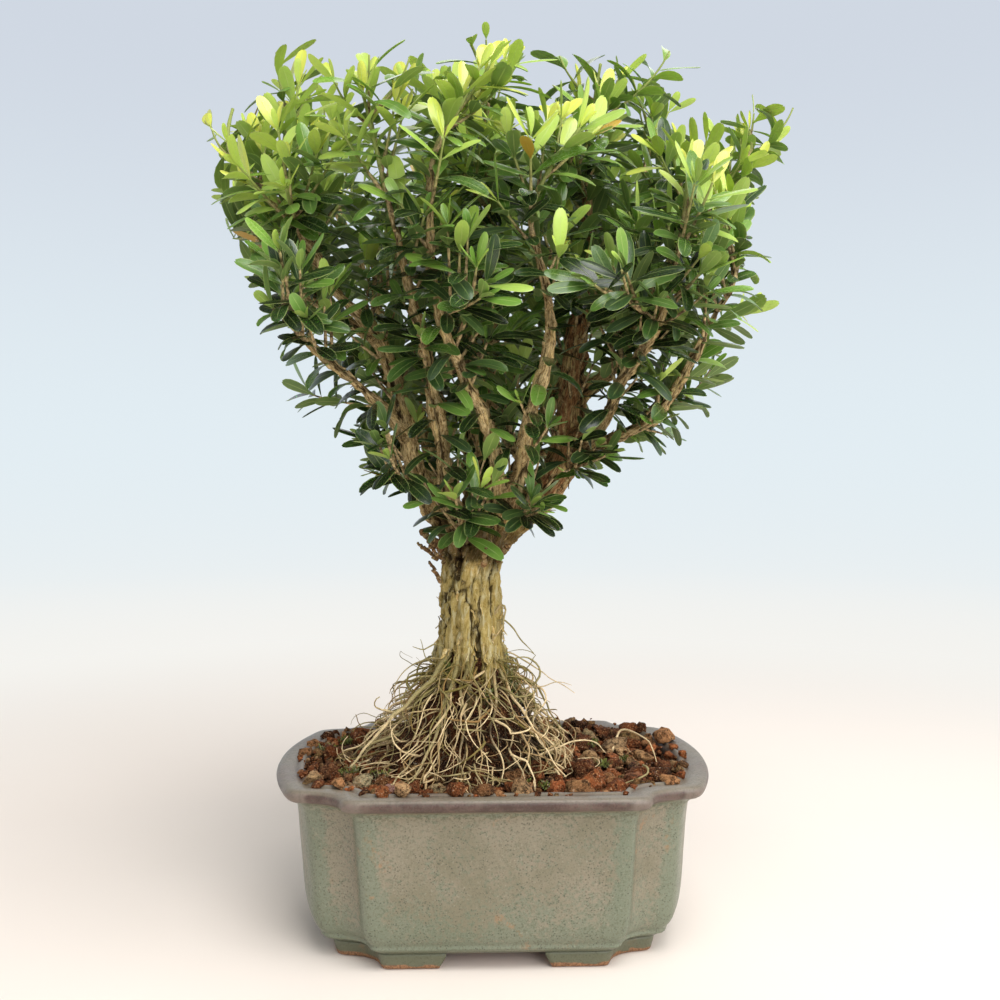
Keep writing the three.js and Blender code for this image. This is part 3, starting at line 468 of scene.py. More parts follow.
class Shape:
    """Points, faces and marks of one piece while it is being made."""

    def __init__(self):
        self.points, self.faces, self.finishes, self.marks = [], [], [], {}
        self.start = self.count = 0

    def add(self, points, faces, finish=0, **marks):
        """Adds points and faces; each mark is one row a point, or one row for all."""
        points = np.asarray(points, float).reshape(-1, 3)
        self.points.append(points)
        self.start = self.count
        self.count += len(points)
        self.join(faces, finish)
        for name, value in marks.items():
            value = np.broadcast_to(np.asarray(value, float), (len(points), 3))
            self.marks.setdefault(name, []).append(value)

    def join(self, faces, finish=0):
        """Adds faces between the points that were added last."""
        self.faces.append(np.asarray(faces) + self.start)
        self.finishes.append(np.full(len(faces), finish))

    def tube(self, path, radii, sides, finish=0, **marks):
        """Adds a closed tube along a path, with a radius for each of its points."""
        travel, across, side = carried_frame(path)
        angle = np.arange(sides) * (tau / sides)
        ring = (across[:, None] * np.cos(angle)[None, :, None]
                + side[:, None] * np.sin(angle)[None, :, None])
        walls = (path[:, None] + ring * radii[:, None, None]).reshape(-1, 3)
        ends = np.stack([path[0] - travel[0] * radii[0] * 0.4,
                         path[-1] + travel[-1] * radii[-1] * 0.6])
        spread = {}
        for name, value in marks.items():
            value = np.asarray(value, float)
            if value.ndim == 2:
                value = np.vstack([np.repeat(value, sides, axis=0), value[:1], value[-1:]])
            spread[name] = value
        self.add(np.vstack([walls, ends]), strip_faces(len(path), sides, True), finish, **spread)
        here = np.arange(sides)
        there = (here + 1) % sides
        count = len(walls)
        last = count - sides
        self.join(np.stack([there, here, np.full(sides, count)], axis=1), finish)
        self.join(np.stack([last + here, last + there, np.full(sides, count + 1)], axis=1), finish)

    def mesh(self, name, placed=True):
        """The Blender mesh of what was added, in metres in the row frame unless not placed."""
        points = np.vstack(self.points)
        if placed:
            points = points * MM + POT_MIDDLE
        made = bpy.data.meshes.new(name)
        sizes = np.concatenate([np.full(len(f), f.shape[1]) for f in self.faces])
        corners = np.concatenate([f.ravel() for f in self.faces]).astype(np.int32)
        made.vertices.add(len(points))
        made.vertices.foreach_set("co", points.astype(np.float32).ravel())
        made.loops.add(len(corners))
        made.loops.foreach_set("vertex_index", corners)
        made.polygons.add(len(sizes))
        starts = np.concatenate([[0], np.cumsum(sizes)[:-1]]).astype(np.int32)
        made.polygons.foreach_set("loop_start", starts)
        made.polygons.foreach_set("material_index",
                                  np.concatenate(self.finishes).astype(np.int32))
        made.polygons.foreach_set("use_smooth", np.ones(len(sizes), bool))
        for mark, rows in self.marks.items():
            layer = made.attributes.new(mark, "FLOAT_VECTOR", "POINT")
            layer.data.foreach_set("vector", np.vstack(rows).astype(np.float32).ravel())
        made.update(calc_edges=True)
        made.validate()
        return made


def lay_piece(name, shape, materials, slot, *nodes):
    """Puts a finished shape in the scene as a piece of the bonsai that stands for CAD nodes."""
    mesh = shape.mesh(name)
    piece = bpy.data.objects.new(name, mesh)
    bpy.context.scene.collection.objects.link(piece)
    for material in materials:
        mesh.materials.append(material)
    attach(piece, "root")
    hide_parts(*nodes)


def mesh_arrays(mesh):
    """Points, point normals and edges of a Blender mesh."""
    points = np.zeros(len(mesh.vertices) * 3, np.float32)
    normals = np.zeros(len(mesh.vertices) * 3, np.float32)
    edges = np.zeros(len(mesh.edges) * 2, np.int32)
    mesh.vertices.foreach_get("co", points)
    mesh.vertices.foreach_get("normal", normals)
    mesh.edges.foreach_get("vertices", edges)
    return points.reshape(-1, 3).astype(float), normals.reshape(-1, 3), edges.reshape(-1, 2)


def relaxed(points, edges, rounds, share):
    """Points moved towards the middle of their neighbours."""
    count = np.bincount(edges.ravel(), minlength=len(points))[:, None]
    for _ in range(rounds):
        total = np.zeros_like(points)
        np.add.at(total, edges[:, 0], points[edges[:, 1]])
        np.add.at(total, edges[:, 1], points[edges[:, 0]])
        points = points + share * (total / np.maximum(count, 1) - points)
    return points


def sheet_arrays(sheet):
    """Points and faces of a small edit mesh, which is freed."""
    points = np.array([v.co[:] for v in sheet.verts])
    faces = np.array([[v.index for v in f.verts] for f in sheet.faces])
    sheet.free()
    return points, faces


# Finishes

class Wire:
    """A value that runs from one node of a finish to the next, on which sums can be written."""

    def __init__(self, finish, socket):
        self.finish, self.socket = finish, socket

    def maths(self, operation, *others, **settings):
        """A Math or Vector Math node on this value and the others."""
        kind = "VectorMath" if self.socket.type == "VECTOR" else "Math"
        return self.finish.node(kind, {"operation": operation, **settings},
                                dict(enumerate((self, *others))))

    def __add__(self, other):
        return self.maths("ADD", other)

    def __sub__(self, other):
        return self.maths("SUBTRACT", other)

    def __rsub__(self, other):
        return self.finish.node("Math", {"operation": "SUBTRACT"}, {0: other, 1: self})

    def __mul__(self, other):
        return self.maths("MULTIPLY", other)

    __radd__, __rmul__ = __add__, __mul__

    def size(self):
        return self.maths("ABSOLUTE")

    def held(self):
        """The value held between 0 and 1."""
        return self.maths("ADD", 0.0, use_clamp=True)

    def within(self, low, high):
        """0 below low, 1 above high, and a smooth rise between; low may be the larger."""
        return self.finish.node("MapRange", {"interpolation_type": "SMOOTHSTEP"},
                                {0: self, 1: low, 2: high, 3: 0.0, 4: 1.0})

    def parts(self):
        """The x, y and z of a vector."""
        return [self.finish.node("SeparateXYZ", {}, {0: self}, i) for i in range(3)]


class Finish:
    """A material being mixed from Blender's nodes."""

    def __init__(self, name, **uniform):
        self.material = bpy.data.materials.new(name)
        self.material.use_nodes = True
        self.tree = self.material.node_tree
        self.tree.nodes.clear()
        self.shader = self.tree.nodes.new("ShaderNodeBsdfPrincipled")
        self.output = self.tree.nodes.new("ShaderNodeOutputMaterial")
        self.tree.links.new(self.shader.outputs[0], self.output.inputs[0])
        for label, value in uniform.items():
            self.shader.inputs[label.replace("_", " ")].default_value = value

    def node(self, kind, settings, values, output=0):
        """Adds a node with its settings made first, then its values or links."""
        made = self.tree.nodes.new("ShaderNode" + kind)
        for name, value in settings.items():
            if name == "stops":
                while len(made.color_ramp.elements) < len(value):
                    made.color_ramp.elements.new(0.5)
                for element, (place, colour) in zip(made.color_ramp.elements, value):
                    element.position = place
                    element.color = (*colour, 1.0)
            else:
                setattr(made, name, value)
        for name, value in values.items():
            self.feed(made.inputs[name], value)
        return Wire(self, made.outputs[output])

    def feed(self, socket, value):
        if isinstance(value, Wire):
            self.tree.links.new(value.socket, socket)
        elif socket.type == "RGBA":
            socket.default_value = (*tuple(value)[:3], 1.0)
        elif socket.type == "VECTOR" and isinstance(value, (int, float)):
            socket.default_value = (value, value, value)
        else:
            socket.default_value = value

    def set(self, label, value):
        self.feed(self.shader.inputs[label], value)

    def place(self):
        return self.node("TexCoord", {}, {}, "Object")

    def mark(self, name, output="Vector"):
        return self.node("Attribute", {"attribute_name": name}, {}, output)

    def noise(self, place, scale, detail=3.0, roughness=0.55, distortion=0.0):
        return self.node("TexNoise", {}, {"Vector": place, "Scale": scale, "Detail": detail,
                                          "Roughness": roughness, "Distortion": distortion})

    def cells(self, place, scale):
        return self.node("TexVoronoi", {}, {"Vector": place, "Scale": scale})

    def mix(self, share, first, second):
        return self.node("Mix", {"data_type": "RGBA"}, {0: share, 6: first, 7: second}, 2)

    def ramp(self, value, stops):
        return self.node("ValToRGB", {"stops": stops}, {0: value})

    def bumps(self, *layers):
        """Raised detail, as height, strength and depth in metres for each layer."""
        normal = None
        for height, strength, depth in layers:
            values = {"Height": height, "Strength": strength, "Distance": depth}
            if normal is not None:
                values["Normal"] = normal
            normal = self.node("Bump", {}, values)
        self.set("Normal", normal)


def glaze_finish(settings):
    """Celadon glaze: warm grey, mottled and sprinkled with dark and greenish specks, greener
    on the feet, mauve-grey on the lip, with a painted highlight along the lip's rounded edge."""
    f = Finish("celadon_glaze", IOR=1.5)
    place = f.place()
    lip, ridge, bare = f.mark("glaze_zone").parts()
    height = place.parts()[2]
    cloud = f.noise(place, 34, 5, 0.65)
    patch = f.noise(place, 170, 4, 0.65)
    grain = f.noise(place, 1900, 3, 0.7)
    fleck = f.noise(place, 900, 4, 0.75)
    body = f.mix(cloud.within(0.38, 0.62), settings.glaze_dark, settings.glaze_light)
    body = f.mix(patch.within(0.48, 0.66) * 0.35, body, settings.glaze_warm)
    low = height.within(0.03, 0.004) * 0.16
    green = (fleck * 0.6 + patch * 0.4 + ridge * 0.16 + low - 0.5).within(0.0, 0.14)
    body = f.mix(green * 0.6, body, settings.glaze_break)
    pale = f.noise(place, 1500, 2, 0.6).within(0.6, 0.72)
    body = f.mix(pale * 0.35, body, settings.glaze_pale)
    shade = f.mix(green, settings.glaze_shade, settings.foot_green)
    dark = (grain * 0.6 + fleck * 0.4).within(0.49, 0.6)
    body = f.mix(dark * 0.5, body, shade)
    dots = f.cells(place, 1050).within(0.32, 0.16) * f.noise(place, 240, 2).within(0.4, 0.54)
    body = f.mix(dots * 0.65, body, settings.speckle)
    stain = (f.noise(place, 60, 3, 0.6, 0.6).within(0.62, 0.7)
             * f.noise(place, 600, 3, 0.7).within(0.45, 0.6))
    body = f.mix(stain * 0.5, body, settings.rust)
    body = f.mix(height.within(0.0072, 0.005) * 0.6, body, settings.foot_green)
    under_lip = height.within(0.0455, 0.0487) * height.within(0.0505, 0.049)
    body = f.mix(under_lip * fleck.within(0.46, 0.6) * 0.7, body, settings.foot_green)
    rim = f.mix((grain * 0.4 + patch * 0.6).within(0.4, 0.6), settings.lip, settings.lip_light)
    # Painted highlight: a pale line along the lip's rounded edges.
    rim = f.mix(ridge.within(0.4, 0.95) * 0.3, rim, settings.lip_edge_highlight)
    top = height.within(0.0525, 0.0537) * cloud.within(0.3, 0.6)
    rim = f.mix(top * 0.5, rim, settings.glaze_light)
    rim = f.mix(green * 0.12, rim, settings.glaze_break)
    rim = f.mix((dark + dots * 0.6).held() * 0.4, rim, settings.speckle)
    body = f.mix(lip, body, rim)
    clay = f.mix(grain.within(0.35, 0.65), settings.clay, settings.clay_dark)
    body = f.mix((bare + fleck * 0.5 - 0.25).within(0.3, 0.6), body, clay)
    f.set("Base Color", body)
    f.set("Roughness", (0.26 + patch * 0.24 + bare * 0.4 + dark * 0.1).held())
    f.bumps((cloud, 0.4, 0.0006), (grain, 0.4, 0.00014), (fleck, 0.4, 0.0002))
    return f.material


def net_finish(settings):
    """Matt black plastic with a faint moulded grain."""
    f = Finish("net_plastic", IOR=1.46)
    place = f.place()
    grain = f.noise(place, 1400, 2)
    dust = f.noise(place, 300, 3).within(0.5, 0.75)
    f.set("Base Color", f.mix(dust * 0.4, settings.net, settings.dust))
    f.set("Roughness", grain * 0.2 + 0.45)
    f.bumps((grain, 0.4, 0.0001))
    return f.material


def soil_finish(settings, name):
    """Crumbly fired clay granules, each with its own colour, pitted and dusted with mineral,
    with painted shade in their hollows and pits.
    """
    f = Finish(name, IOR=1.4, Specular_IOR_Level=0.2)
    place = f.place()
    tone = f.mark("stone_tone", "Color")
    crumb = f.noise(place, 560, 6, 0.78)
    grit = f.noise(place, 1700, 3, 0.7)
    pit = f.cells(place, 1100)
    wide = f.noise(place, 230, 3, 0.6)
    body = f.mix(wide.within(0.35, 0.65) * 0.3, tone, settings.soil_warm)
    # Painted shade: the hollows of the crumbly relief and the pits are darkened.
    body = f.mix(crumb.within(0.56, 0.4) * 0.85, body, settings.soil_hollow_shade)
    body = f.mix(grit.within(0.52, 0.68) * 0.5, body, settings.soil_bright)
    body = f.mix(pit.within(0.22, 0.1) * 0.6, body, settings.soil_hollow_shade)
    salt = (crumb * 0.6 + grit * 0.4).within(0.57, 0.63) * f.noise(place, 130, 2).within(0.5, 0.6)
    body = f.mix(salt * 0.75, body, settings.mineral)
    f.set("Base Color", body)
    f.set("Roughness", crumb * 0.2 + 0.74)
    f.bumps((crumb, 1.0, 0.0013), (pit, 0.7, 0.0004), (grit, 0.8, 0.0003))
    return f.material


def moss_finish(settings):
    """Small soft moss leaves, brighter at the tips."""
    f = Finish("moss_green", Roughness=0.75)
    place = f.place()
    tip = f.mark("moss_place").parts()[0]
    patch = f.noise(place, 260, 2)
    body = f.mix(tip, settings.moss_dark, settings.moss_bright)
    body = f.mix(patch.within(0.5, 0.7) * 0.4, body, settings.mineral)
    f.set("Base Color", body)
    f.bumps((f.noise(place, 2600, 1), 0.3, 0.0001))
    return f.material


def bark_finish(settings):
    """Corky bark in pale ridges over dark fissures, with algae on the trunk and fibrous flakes on
    the limbs; painted shade darkens the gaps between the cords, the head under the crown and the
    foot among the roots, partly as dark rotten wood at head and foot."""
    f = Finish("old_bark", IOR=1.4, Specular_IOR_Level=0.2)
    place = f.place()
    grain_place = f.mark("bark_place")
    deep, limb, algae = f.mark("bark_tone").parts()
    warm, rot, _ = f.mark("bark_wear").parts()
    fibre = f.noise(grain_place, 3.4, 6, 0.72)
    plate = f.noise(grain_place, 1.1, 4, 0.62, 0.4)
    fleck = f.noise(place, 900, 4, 0.7)
    wide = f.noise(place, 130, 3, 0.6)
    ridge = f.mix(fibre.within(0.38, 0.6), settings.bark_mid, settings.bark_pale)
    ridge = f.mix(plate.within(0.5, 0.62) * 0.75, ridge, settings.bark_light)
    wood = f.mix(fibre.within(0.4, 0.62), settings.limb_dark, settings.limb_pale)
    wood = f.mix(plate.within(0.52, 0.66) * 0.6, wood, settings.bark_pale)
    red = f.mix(fibre.within(0.4, 0.62), settings.limb_red_dark, settings.limb_red)
    wood = f.mix(warm * plate.within(0.62, 0.45), wood, red)
    body = f.mix((limb + fleck * 0.4 - 0.2).within(0.3, 0.7), ridge, wood)
    green = (algae * 1.1 + wide * 1.3 + fleck * 0.4 - 1.25).within(0.1, 0.5)
    body = f.mix(green * 0.42, body, settings.algae)
    # Dark cracks in the bark, with painted shade in the gaps between the cords and low among the
    # roots.
    crack = (deep + fibre.within(0.47, 0.33) * 0.5 - plate.within(0.5, 0.7) * 0.15).held()
    body = f.mix(crack.within(0.3, 0.85) * 0.92, body, settings.fissure_and_shade)
    # Painted shade at the head under the crown and at the foot among the roots, partly dark rotten
    # wood.
    dark = (rot + wide * 0.7 + fleck * 0.5 - 0.75).within(0.1, 0.55)
    body = f.mix(dark * 0.8, body, f.mix(fibre.within(0.45, 0.7), settings.fissure_and_shade, settings.rot))
    body = f.mix(fleck.within(0.6, 0.7) * 0.45, body, settings.bark_light)
    f.set("Base Color", body)
    f.set("Roughness", fibre * 0.15 + 0.76)
    f.bumps((fibre, 1.0, 0.0009), (plate, 0.8, 0.0007), (fleck, 0.8, 0.0003))
    return f.material


def root_finish(settings):
    """Thin pale roots, straw coloured on top and greener low down, darkened low down and by
    painted shade deep in the tangle.
    """
    f = Finish("root_skin", IOR=1.4, Specular_IOR_Level=0.3)
    place = f.place()
    tone, shade, green = f.mark("root_tone").parts()
    streak = f.noise(place, 420, 4, 0.7)
    fine = f.noise(place, 1700, 3, 0.6)
    body = f.mix((tone + streak * 0.8 - 0.4).held(), settings.root_mid, settings.root_pale)
    body = f.mix((green + streak * 0.8 - 0.45).within(0.25, 0.7) * 0.65, body, settings.algae)
    # Painted shade deep in the tangle, and darker low down.
    body = f.mix((shade + streak * 0.7 - 0.35).within(0.15, 0.85) * 0.92, body,
                 settings.root_dark_and_shade)
    body = f.mix(fine.within(0.54, 0.68) * 0.45, body, settings.root_dark_and_shade)
    f.set("Base Color", body)
    f.set("Roughness", fine * 0.15 + 0.58)
    f.bumps((streak, 0.7, 0.0004), (fine, 0.5, 0.00015))
    return f.material


def leaf_finish(settings):
    """Leathery glossy leaf: pale midrib, faint veins, darker with age, a greyish bloom that is
    partly painted sheen, a pale margin that is partly painted highlight, and a paler underside."""
    f = Finish("boxwood_leaf", IOR=1.5, Subsurface_Weight=0.08, Subsurface_Scale=0.001,
               Subsurface_Radius=(0.5, 1.0, 0.15))
    place = f.place()
    across, along, under = f.mark("leaf_place").parts()
    youth, chance, sick = f.mark("leaf_tone").parts()
    off = across.size()
    cloud = f.noise(place, 160, 3, 0.6)
    fine = f.noise(place, 1300, 3, 0.65)
    age = (youth + (cloud - 0.5) * 0.14 + (chance - 0.55) * 0.32 + along * 0.05).held()
    body = f.ramp(age, [(0.0, settings.leaf_old), (0.22, settings.leaf_dark),
                        (0.48, settings.leaf_mid), (0.76, settings.leaf_bright),
                        (1.0, settings.leaf_new)])
    # Greyish bloom on old leaves, partly a painted sheen.
    body = f.mix(chance.within(0.7, 1.0) * 0.22 * (1 - age), body, settings.leaf_bloom_and_sheen)
    veins = (along * 70 - off * 22).maths("SINE")
    web = veins.within(0.5, 1.0) * off.within(0.06, 0.25) * off.within(0.98, 0.7)
    body = f.mix(web * 0.05, body, settings.leaf_vein)
    body = f.mix(fine.within(0.48, 0.72) * 0.05, body, settings.leaf_vein)
    rib = off.within(0.1, 0.035) * along.within(1.0, 0.75)
    body = f.mix(rib * (0.18 + age * 0.42), body, settings.leaf_vein)
    body = f.mix(along.within(0.16, 0.0) * 0.6, body, settings.leaf_vein)
    back = f.mix(age.within(0.25, 0.9), settings.leaf_back, settings.leaf_bright)
    back = f.mix(fine.within(0.4, 0.65) * 0.15, back, settings.leaf_mid)
    back = f.mix(rib * 0.5, back, settings.leaf_vein)
    body = f.mix(under * 0.8, body, back)
    # Pale margin, partly a painted highlight along the leaf's edge.
    edge = off.within(0.86, 0.95)
    body = f.mix(edge * 0.5, body, settings.leaf_margin_and_highlight)
    body = f.mix(sick * (0.6 + cloud * 0.5), body, settings.leaf_sick)
    f.set("Base Color", body)
    f.set("Roughness", (0.17 + chance * 0.12 + under * 0.26 + fine * 0.08).held())
    f.bumps((web, 0.12, 0.0001), (fine, 0.14, 0.00006), (rib, 0.4, 0.00012))
    return f.material


def twig_finish(settings):
    """Twig skin: green while young, then tan and cracked."""
    f = Finish("twig_skin", IOR=1.42, Specular_IOR_Level=0.35)
    place = f.place()
    youth = f.mark("twig_tone").parts()[0]
    streak = f.noise(place, 600, 4, 0.65)
    fine = f.noise(place, 1900, 2, 0.6)
    old = f.mix(streak.within(0.35, 0.66), settings.twig_dark, settings.twig_tan)
    body = f.mix((youth + streak * 0.4 - 0.2).within(0.25, 0.7), old, settings.twig_green)
    body = f.mix(fine.within(0.56, 0.7) * 0.3, body, settings.twig_dark)
    f.set("Base Color", body)
    f.set("Roughness", streak * 0.2 + 0.5)
    f.bumps((streak, 0.6, 0.0003), (fine, 0.4, 0.0001))
    return f.material


def hollow_corner(plan, steps):
    """The hollow corner of a plan, from its front ridge to just before its side ridge."""
    front_x, front_y, ridge_x, ridge_y, _ = plan
    turns = [i / steps * pi / 2 for i in range(steps)]
    return [[ridge_x - (ridge_x - front_x) * cos(turn) ** COVE_POWER,
             -front_y + (front_y - ridge_y) * sin(turn) ** COVE_POWER] for turn in turns]


# Pot

def quarter_plan(plan, cove_steps, front_steps, side_steps):
    """Front right quarter of the pot's plan, from the middle of the front to the middle of
    the side: straight front, hollow corner, bowed side."""
    front_x, front_y, ridge_x, ridge_y, side_x = plan
    points = [[front_x * i / front_steps, -front_y] for i in range(front_steps)]
    points += hollow_corner(plan, cove_steps)
    for i in range(side_steps + 1):
        share = 1 - i / side_steps
        points.append([ridge_x + (side_x - ridge_x) * (1 - share ** 2), -ridge_y * share])
    return np.array(points)


def full_plan(plan, cove_steps=13, front_steps=20, side_steps=18, soften=2):
    """The whole plan, with its ridges slightly rounded by the glaze."""
    quarter = quarter_plan(plan, cove_steps, front_steps, side_steps)
    right = np.vstack([quarter, quarter[-2::-1] * [1, -1]])
    ring = np.vstack([right[:-1], (right * [-1, -1])[:-1]])
    for _ in range(soften):
        ring = ring * 0.5 + (np.roll(ring, 1, axis=0) + np.roll(ring, -1, axis=0)) * 0.25
    return ring


def pot_levels(rows, step):
    """Level table drawn fine, from one height to the next along the wall."""
    order = [5, 0, 2, 1, 3, 4]
    fine = smooth_rows(np.asarray(rows, float)[:, order], step)
    return fine[:, np.argsort(order)]


def inside_rim(x, y, margin):
    """How far places lie inside the pot's inner wall at soil level, less a margin."""
    return depth_inside(full_plan(SOIL_WALL, 6, 4, 6, 0), x, y) - margin


def rim_height(x, y, reach):
    """Height of the lip's inner slope within reach of a place, below the soil further in."""
    over, rise = float(-inside_rim(x, y, reach)), 2.6
    return INNER_EDGE + min(over, rise) + min(max(over - rise, 0.0), 3.6) * 0.22


def pot_skin():
    """The bowl: outer wall with a bead line above the feet, rounded lip and inner wall."""
    outer = pot_levels(POT_OUTER, 0.8)
    inner = pot_levels([POT_OUTER[-1]] + POT_INNER, 1.6)[1:]
    levels = np.vstack([outer, inner])
    bead = sum(out * np.exp(-((outer[:, 0] - height) / spread) ** 2)
               for height, out, spread in BEADS)
    levels[:len(outer), 1:] += bead[:, None]
    rings, zones = [], []
    for number, (height, *plan) in enumerate(levels):
        ring = full_plan(plan)
        turn = np.roll(ring, -3, axis=0) + np.roll(ring, 3, axis=0) - 2 * ring
        run = np.roll(ring, -1, axis=0) - np.roll(ring, 1, axis=0)
        outward = unit(np.column_stack([run[:, 1], -run[:, 0]]))
        sharp = held(-(turn * outward).sum(axis=1) * 0.75)
        clay = 0.0
        if number < len(outer):
            lip = held((height - 49.6) / 0.7)
            # Edges of the lip and low on the wall, where the glaze breaks greener; on the lip they
            # also carry a painted highlight.
            edge = max(held(1 - abs(height - LIP_LOW) / 1.2),
                       0.7 * held(1 - (height - 4.0) / 4.0),
                       held(1 - abs(height - LIP_HIGH) / 0.9))
            clay = 0.9 if height < 4.5 else 0.0
        else:
            lip, edge = held((height - 49.5) / 1.2), held((height - 53) / 0.8)
        rings.append(at_height(ring, height))
        zones.append(np.column_stack([np.full(len(ring), lip), np.maximum(sharp, edge),
                                      np.full(len(ring), clay)]))
    points = np.vstack(rings)
    wobble = ripple(points / 17, 3) * 0.16 + ripple(points / 6, 4) * 0.04
    points = points + unit(points * [1, 1, 0]) * wobble[:, None] * (points[:, 2:] < 49)
    return points, np.vstack(zones), len(levels), len(rings[0])


def drain_rings():
    """The plans of the two drain holes."""
    return [circle(DRAIN_RADIUS, DRAIN_SIDES, side * DRAIN_X) for side in (-1, 1)]


def floor_sheet(shape, ring, upward, zone):
    """A pot floor between its wall and the two drain holes."""
    sheet = bmesh.new()
    height = float(ring[0, 2])
    for loop in (ring[::4, :2], *drain_rings()):
        corners = [sheet.verts.new((x, y, height)) for x, y in loop]
        for first, second in zip(corners, corners[1:] + corners[:1]):
            sheet.edges.new((first, second))
    bmesh.ops.triangle_fill(sheet, use_beauty=True, edges=sheet.edges[:])
    sheet.verts.index_update()
    points, faces = sheet_arrays(sheet)
    a, b, c = points[faces[:, 0]], points[faces[:, 1]], points[faces[:, 2]]
    wrong = (np.cross(b - a, c - a)[:, 2] > 0) != upward
    faces[wrong] = faces[wrong][:, ::-1]
    shape.add(points, faces, glaze_zone=zone)


def drain_walls(shape, low, high):
    """Walls of the two drain holes, with extra rows near both floors."""
    faces = strip_faces(4, DRAIN_SIDES, True)[:, ::-1]
    for ring in drain_rings():
        rows = [at_height(ring, z) for z in (low, low + 0.4, high - 0.4, high)]
        shape.add(np.vstack(rows), faces, glaze_zone=(0, 0, 0.9))


def foot_piece(shape, sign_x, sign_y):
    """One corner foot: a band that follows the plan and slopes back at both ends."""
    steps = 12
    profile = [(FOOT_JOINT - share * 4.6, 0.0, share) for share in np.linspace(0, 1, 6)]
    profile += [(0.08, 0.35, 1), (0.0, 0.8, 1), (0.0, FOOT_WALL - 0.8, 1),
                (0.1, FOOT_WALL - 0.3, 1), (0.5, FOOT_WALL, 1), (FOOT_JOINT, FOOT_WALL, 0)]
    columns = []
    for height, inward, share in profile:
        plan = np.array(FOOT_TOP) * (1 - share) + np.array(FOOT_GROUND) * share - inward
        front_x, front_y, ridge_x, ridge_y, side_x = plan
        slope = FOOT_SLOPE * min(height, 4.0) / 4.0
        start, stop = FOOT_FRONT_GAP - slope, FOOT_SIDE_GAP - slope
        path = [[start + (front_x - start) * i / steps, -front_y] for i in range(steps)]
        path += hollow_corner(plan, steps)
        for i in range(11):
            y = ridge_y + (stop - ridge_y) * i / 10
            path.append([ridge_x + (side_x - ridge_x) * (1 - (y / ridge_y) ** 2), -y])
        path = np.array(path)
        for _ in range(2):
            path[1:-1] = path[1:-1] * 0.5 + (path[2:] + path[:-2]) * 0.25
        columns.append(at_height(path, height))
    stack = np.stack(columns, axis=1)
    rows, count = stack.shape[:2]
    points = stack.reshape(-1, 3) * [sign_x, sign_y, 1]
    faces = strip_faces(rows, count, True)
    caps = np.array([[i, i + 1, count - 2 - i, count - 1 - i] for i in range(count // 2 - 1)])
    ends = [caps[:, ::-1], caps + (rows - 1) * count]
    if sign_x * sign_y < 0:
        faces, ends = faces[:, ::-1], [e[:, ::-1] for e in ends]
    height = points[:, 2]
    worn = held((1.5 - height + ripple(points / 2.5, 8) * 0.5) / 0.5)
    zone = np.column_stack([np.zeros(len(points)), np.full(len(points), 0.6),
                            np.maximum(worn, np.abs(height) < 0.3)])
    shape.add(points, faces, glaze_zone=zone)
    for end in ends:
        shape.join(end)


def make_pot(settings):
    shape = Shape()
    points, zones, rows, count = pot_skin()
    shape.add(points, strip_faces(rows, count, True), glaze_zone=zones)
    inner, outer = points[-count:], points[:count]
    floor_sheet(shape, inner, True, (0, 0, 0.5))
    floor_sheet(shape, outer, False, (0, 0.3, 1))
    drain_walls(shape, float(outer[0, 2]), float(inner[0, 2]))
    for sign_x in (-1, 1):
        for sign_y in (-1, 1):
            foot_piece(shape, sign_x, sign_y)
    lay_piece("pot_glazed", shape, [glaze_finish(settings)], "glaze", "pot")


# Soil

def soil_height(x, y):
    """Height of the soil mound, which rises towards the trunk and lies higher at the back."""
    reach = np.hypot((x - TRUNK[0] * 0.6) / 56, (y - TRUNK[1]) / 40)
    back = held((y + 2) / 30) * (1.5 + 1.1 * held((x + 5) / 30))
    wall = held((np.hypot(x / 62, y / 43) - 0.7) / 0.3)
    return SOIL_EDGE + SOIL_RISE * np.clip(1 - reach, 0, None) ** 1.3 + back + 0.8 * wall


def soil_bed():
    """Fine crumbs between the granules, down to the floor of the pot, coloured dark partly as
    painted shade in the gaps.
    """
    shape = Shape()
    wall = full_plan([37.4, 42.0, 52.8, 32.4, 60.8], 12, 22, 20)
    low = full_plan([31.2, 35.2, 45.2, 26.2, 52.0], 12, 22, 20)
    rows = [at_height(low, 10.9), at_height(wall - (wall - low) * 0.55, 13.9),
            at_height(wall, SOIL_EDGE - 1.4)]
    for share in np.linspace(0.99, 0.1, 50):
        place = TRUNK + (wall - TRUNK) * share
        rows.append(at_height(place, soil_height(place[:, 0], place[:, 1]) - 1.8))
    points = np.vstack(rows)
    top = np.arange(len(points)) >= 3 * len(wall)
    relief = rough(points / 3.1, 3, 5) * 0.9 + np.abs(rough(points / 1.1, 2, 9)) * 0.7
    points[:, 2] += np.where(top, relief, 0)
    # Dark crumb colour, partly painted shade in the gaps between the granules.
    tone = np.array(paint(62, 36, 22))[None] * (1.0 + rough(points / 2.2, 2, 12)[:, None] * 0.6)
    shape.add(points, strip_faces(len(rows), len(wall), True), stone_tone=held(tone))
    return shape


def stone_ball(level):
    """Points and faces of a unit ball split into triangles."""
    ball = bmesh.new()
    bmesh.ops.create_icosphere(ball, subdivisions=level, radius=1.0)
    return sheet_arrays(ball)


def granule_tone(rng):
    """One of the granules' colours, by chance."""
    shares = [share for share, _ in GRANULE_TONES]
    return paint(*GRANULE_TONES[rng.choice(len(shares), p=shares)][1])


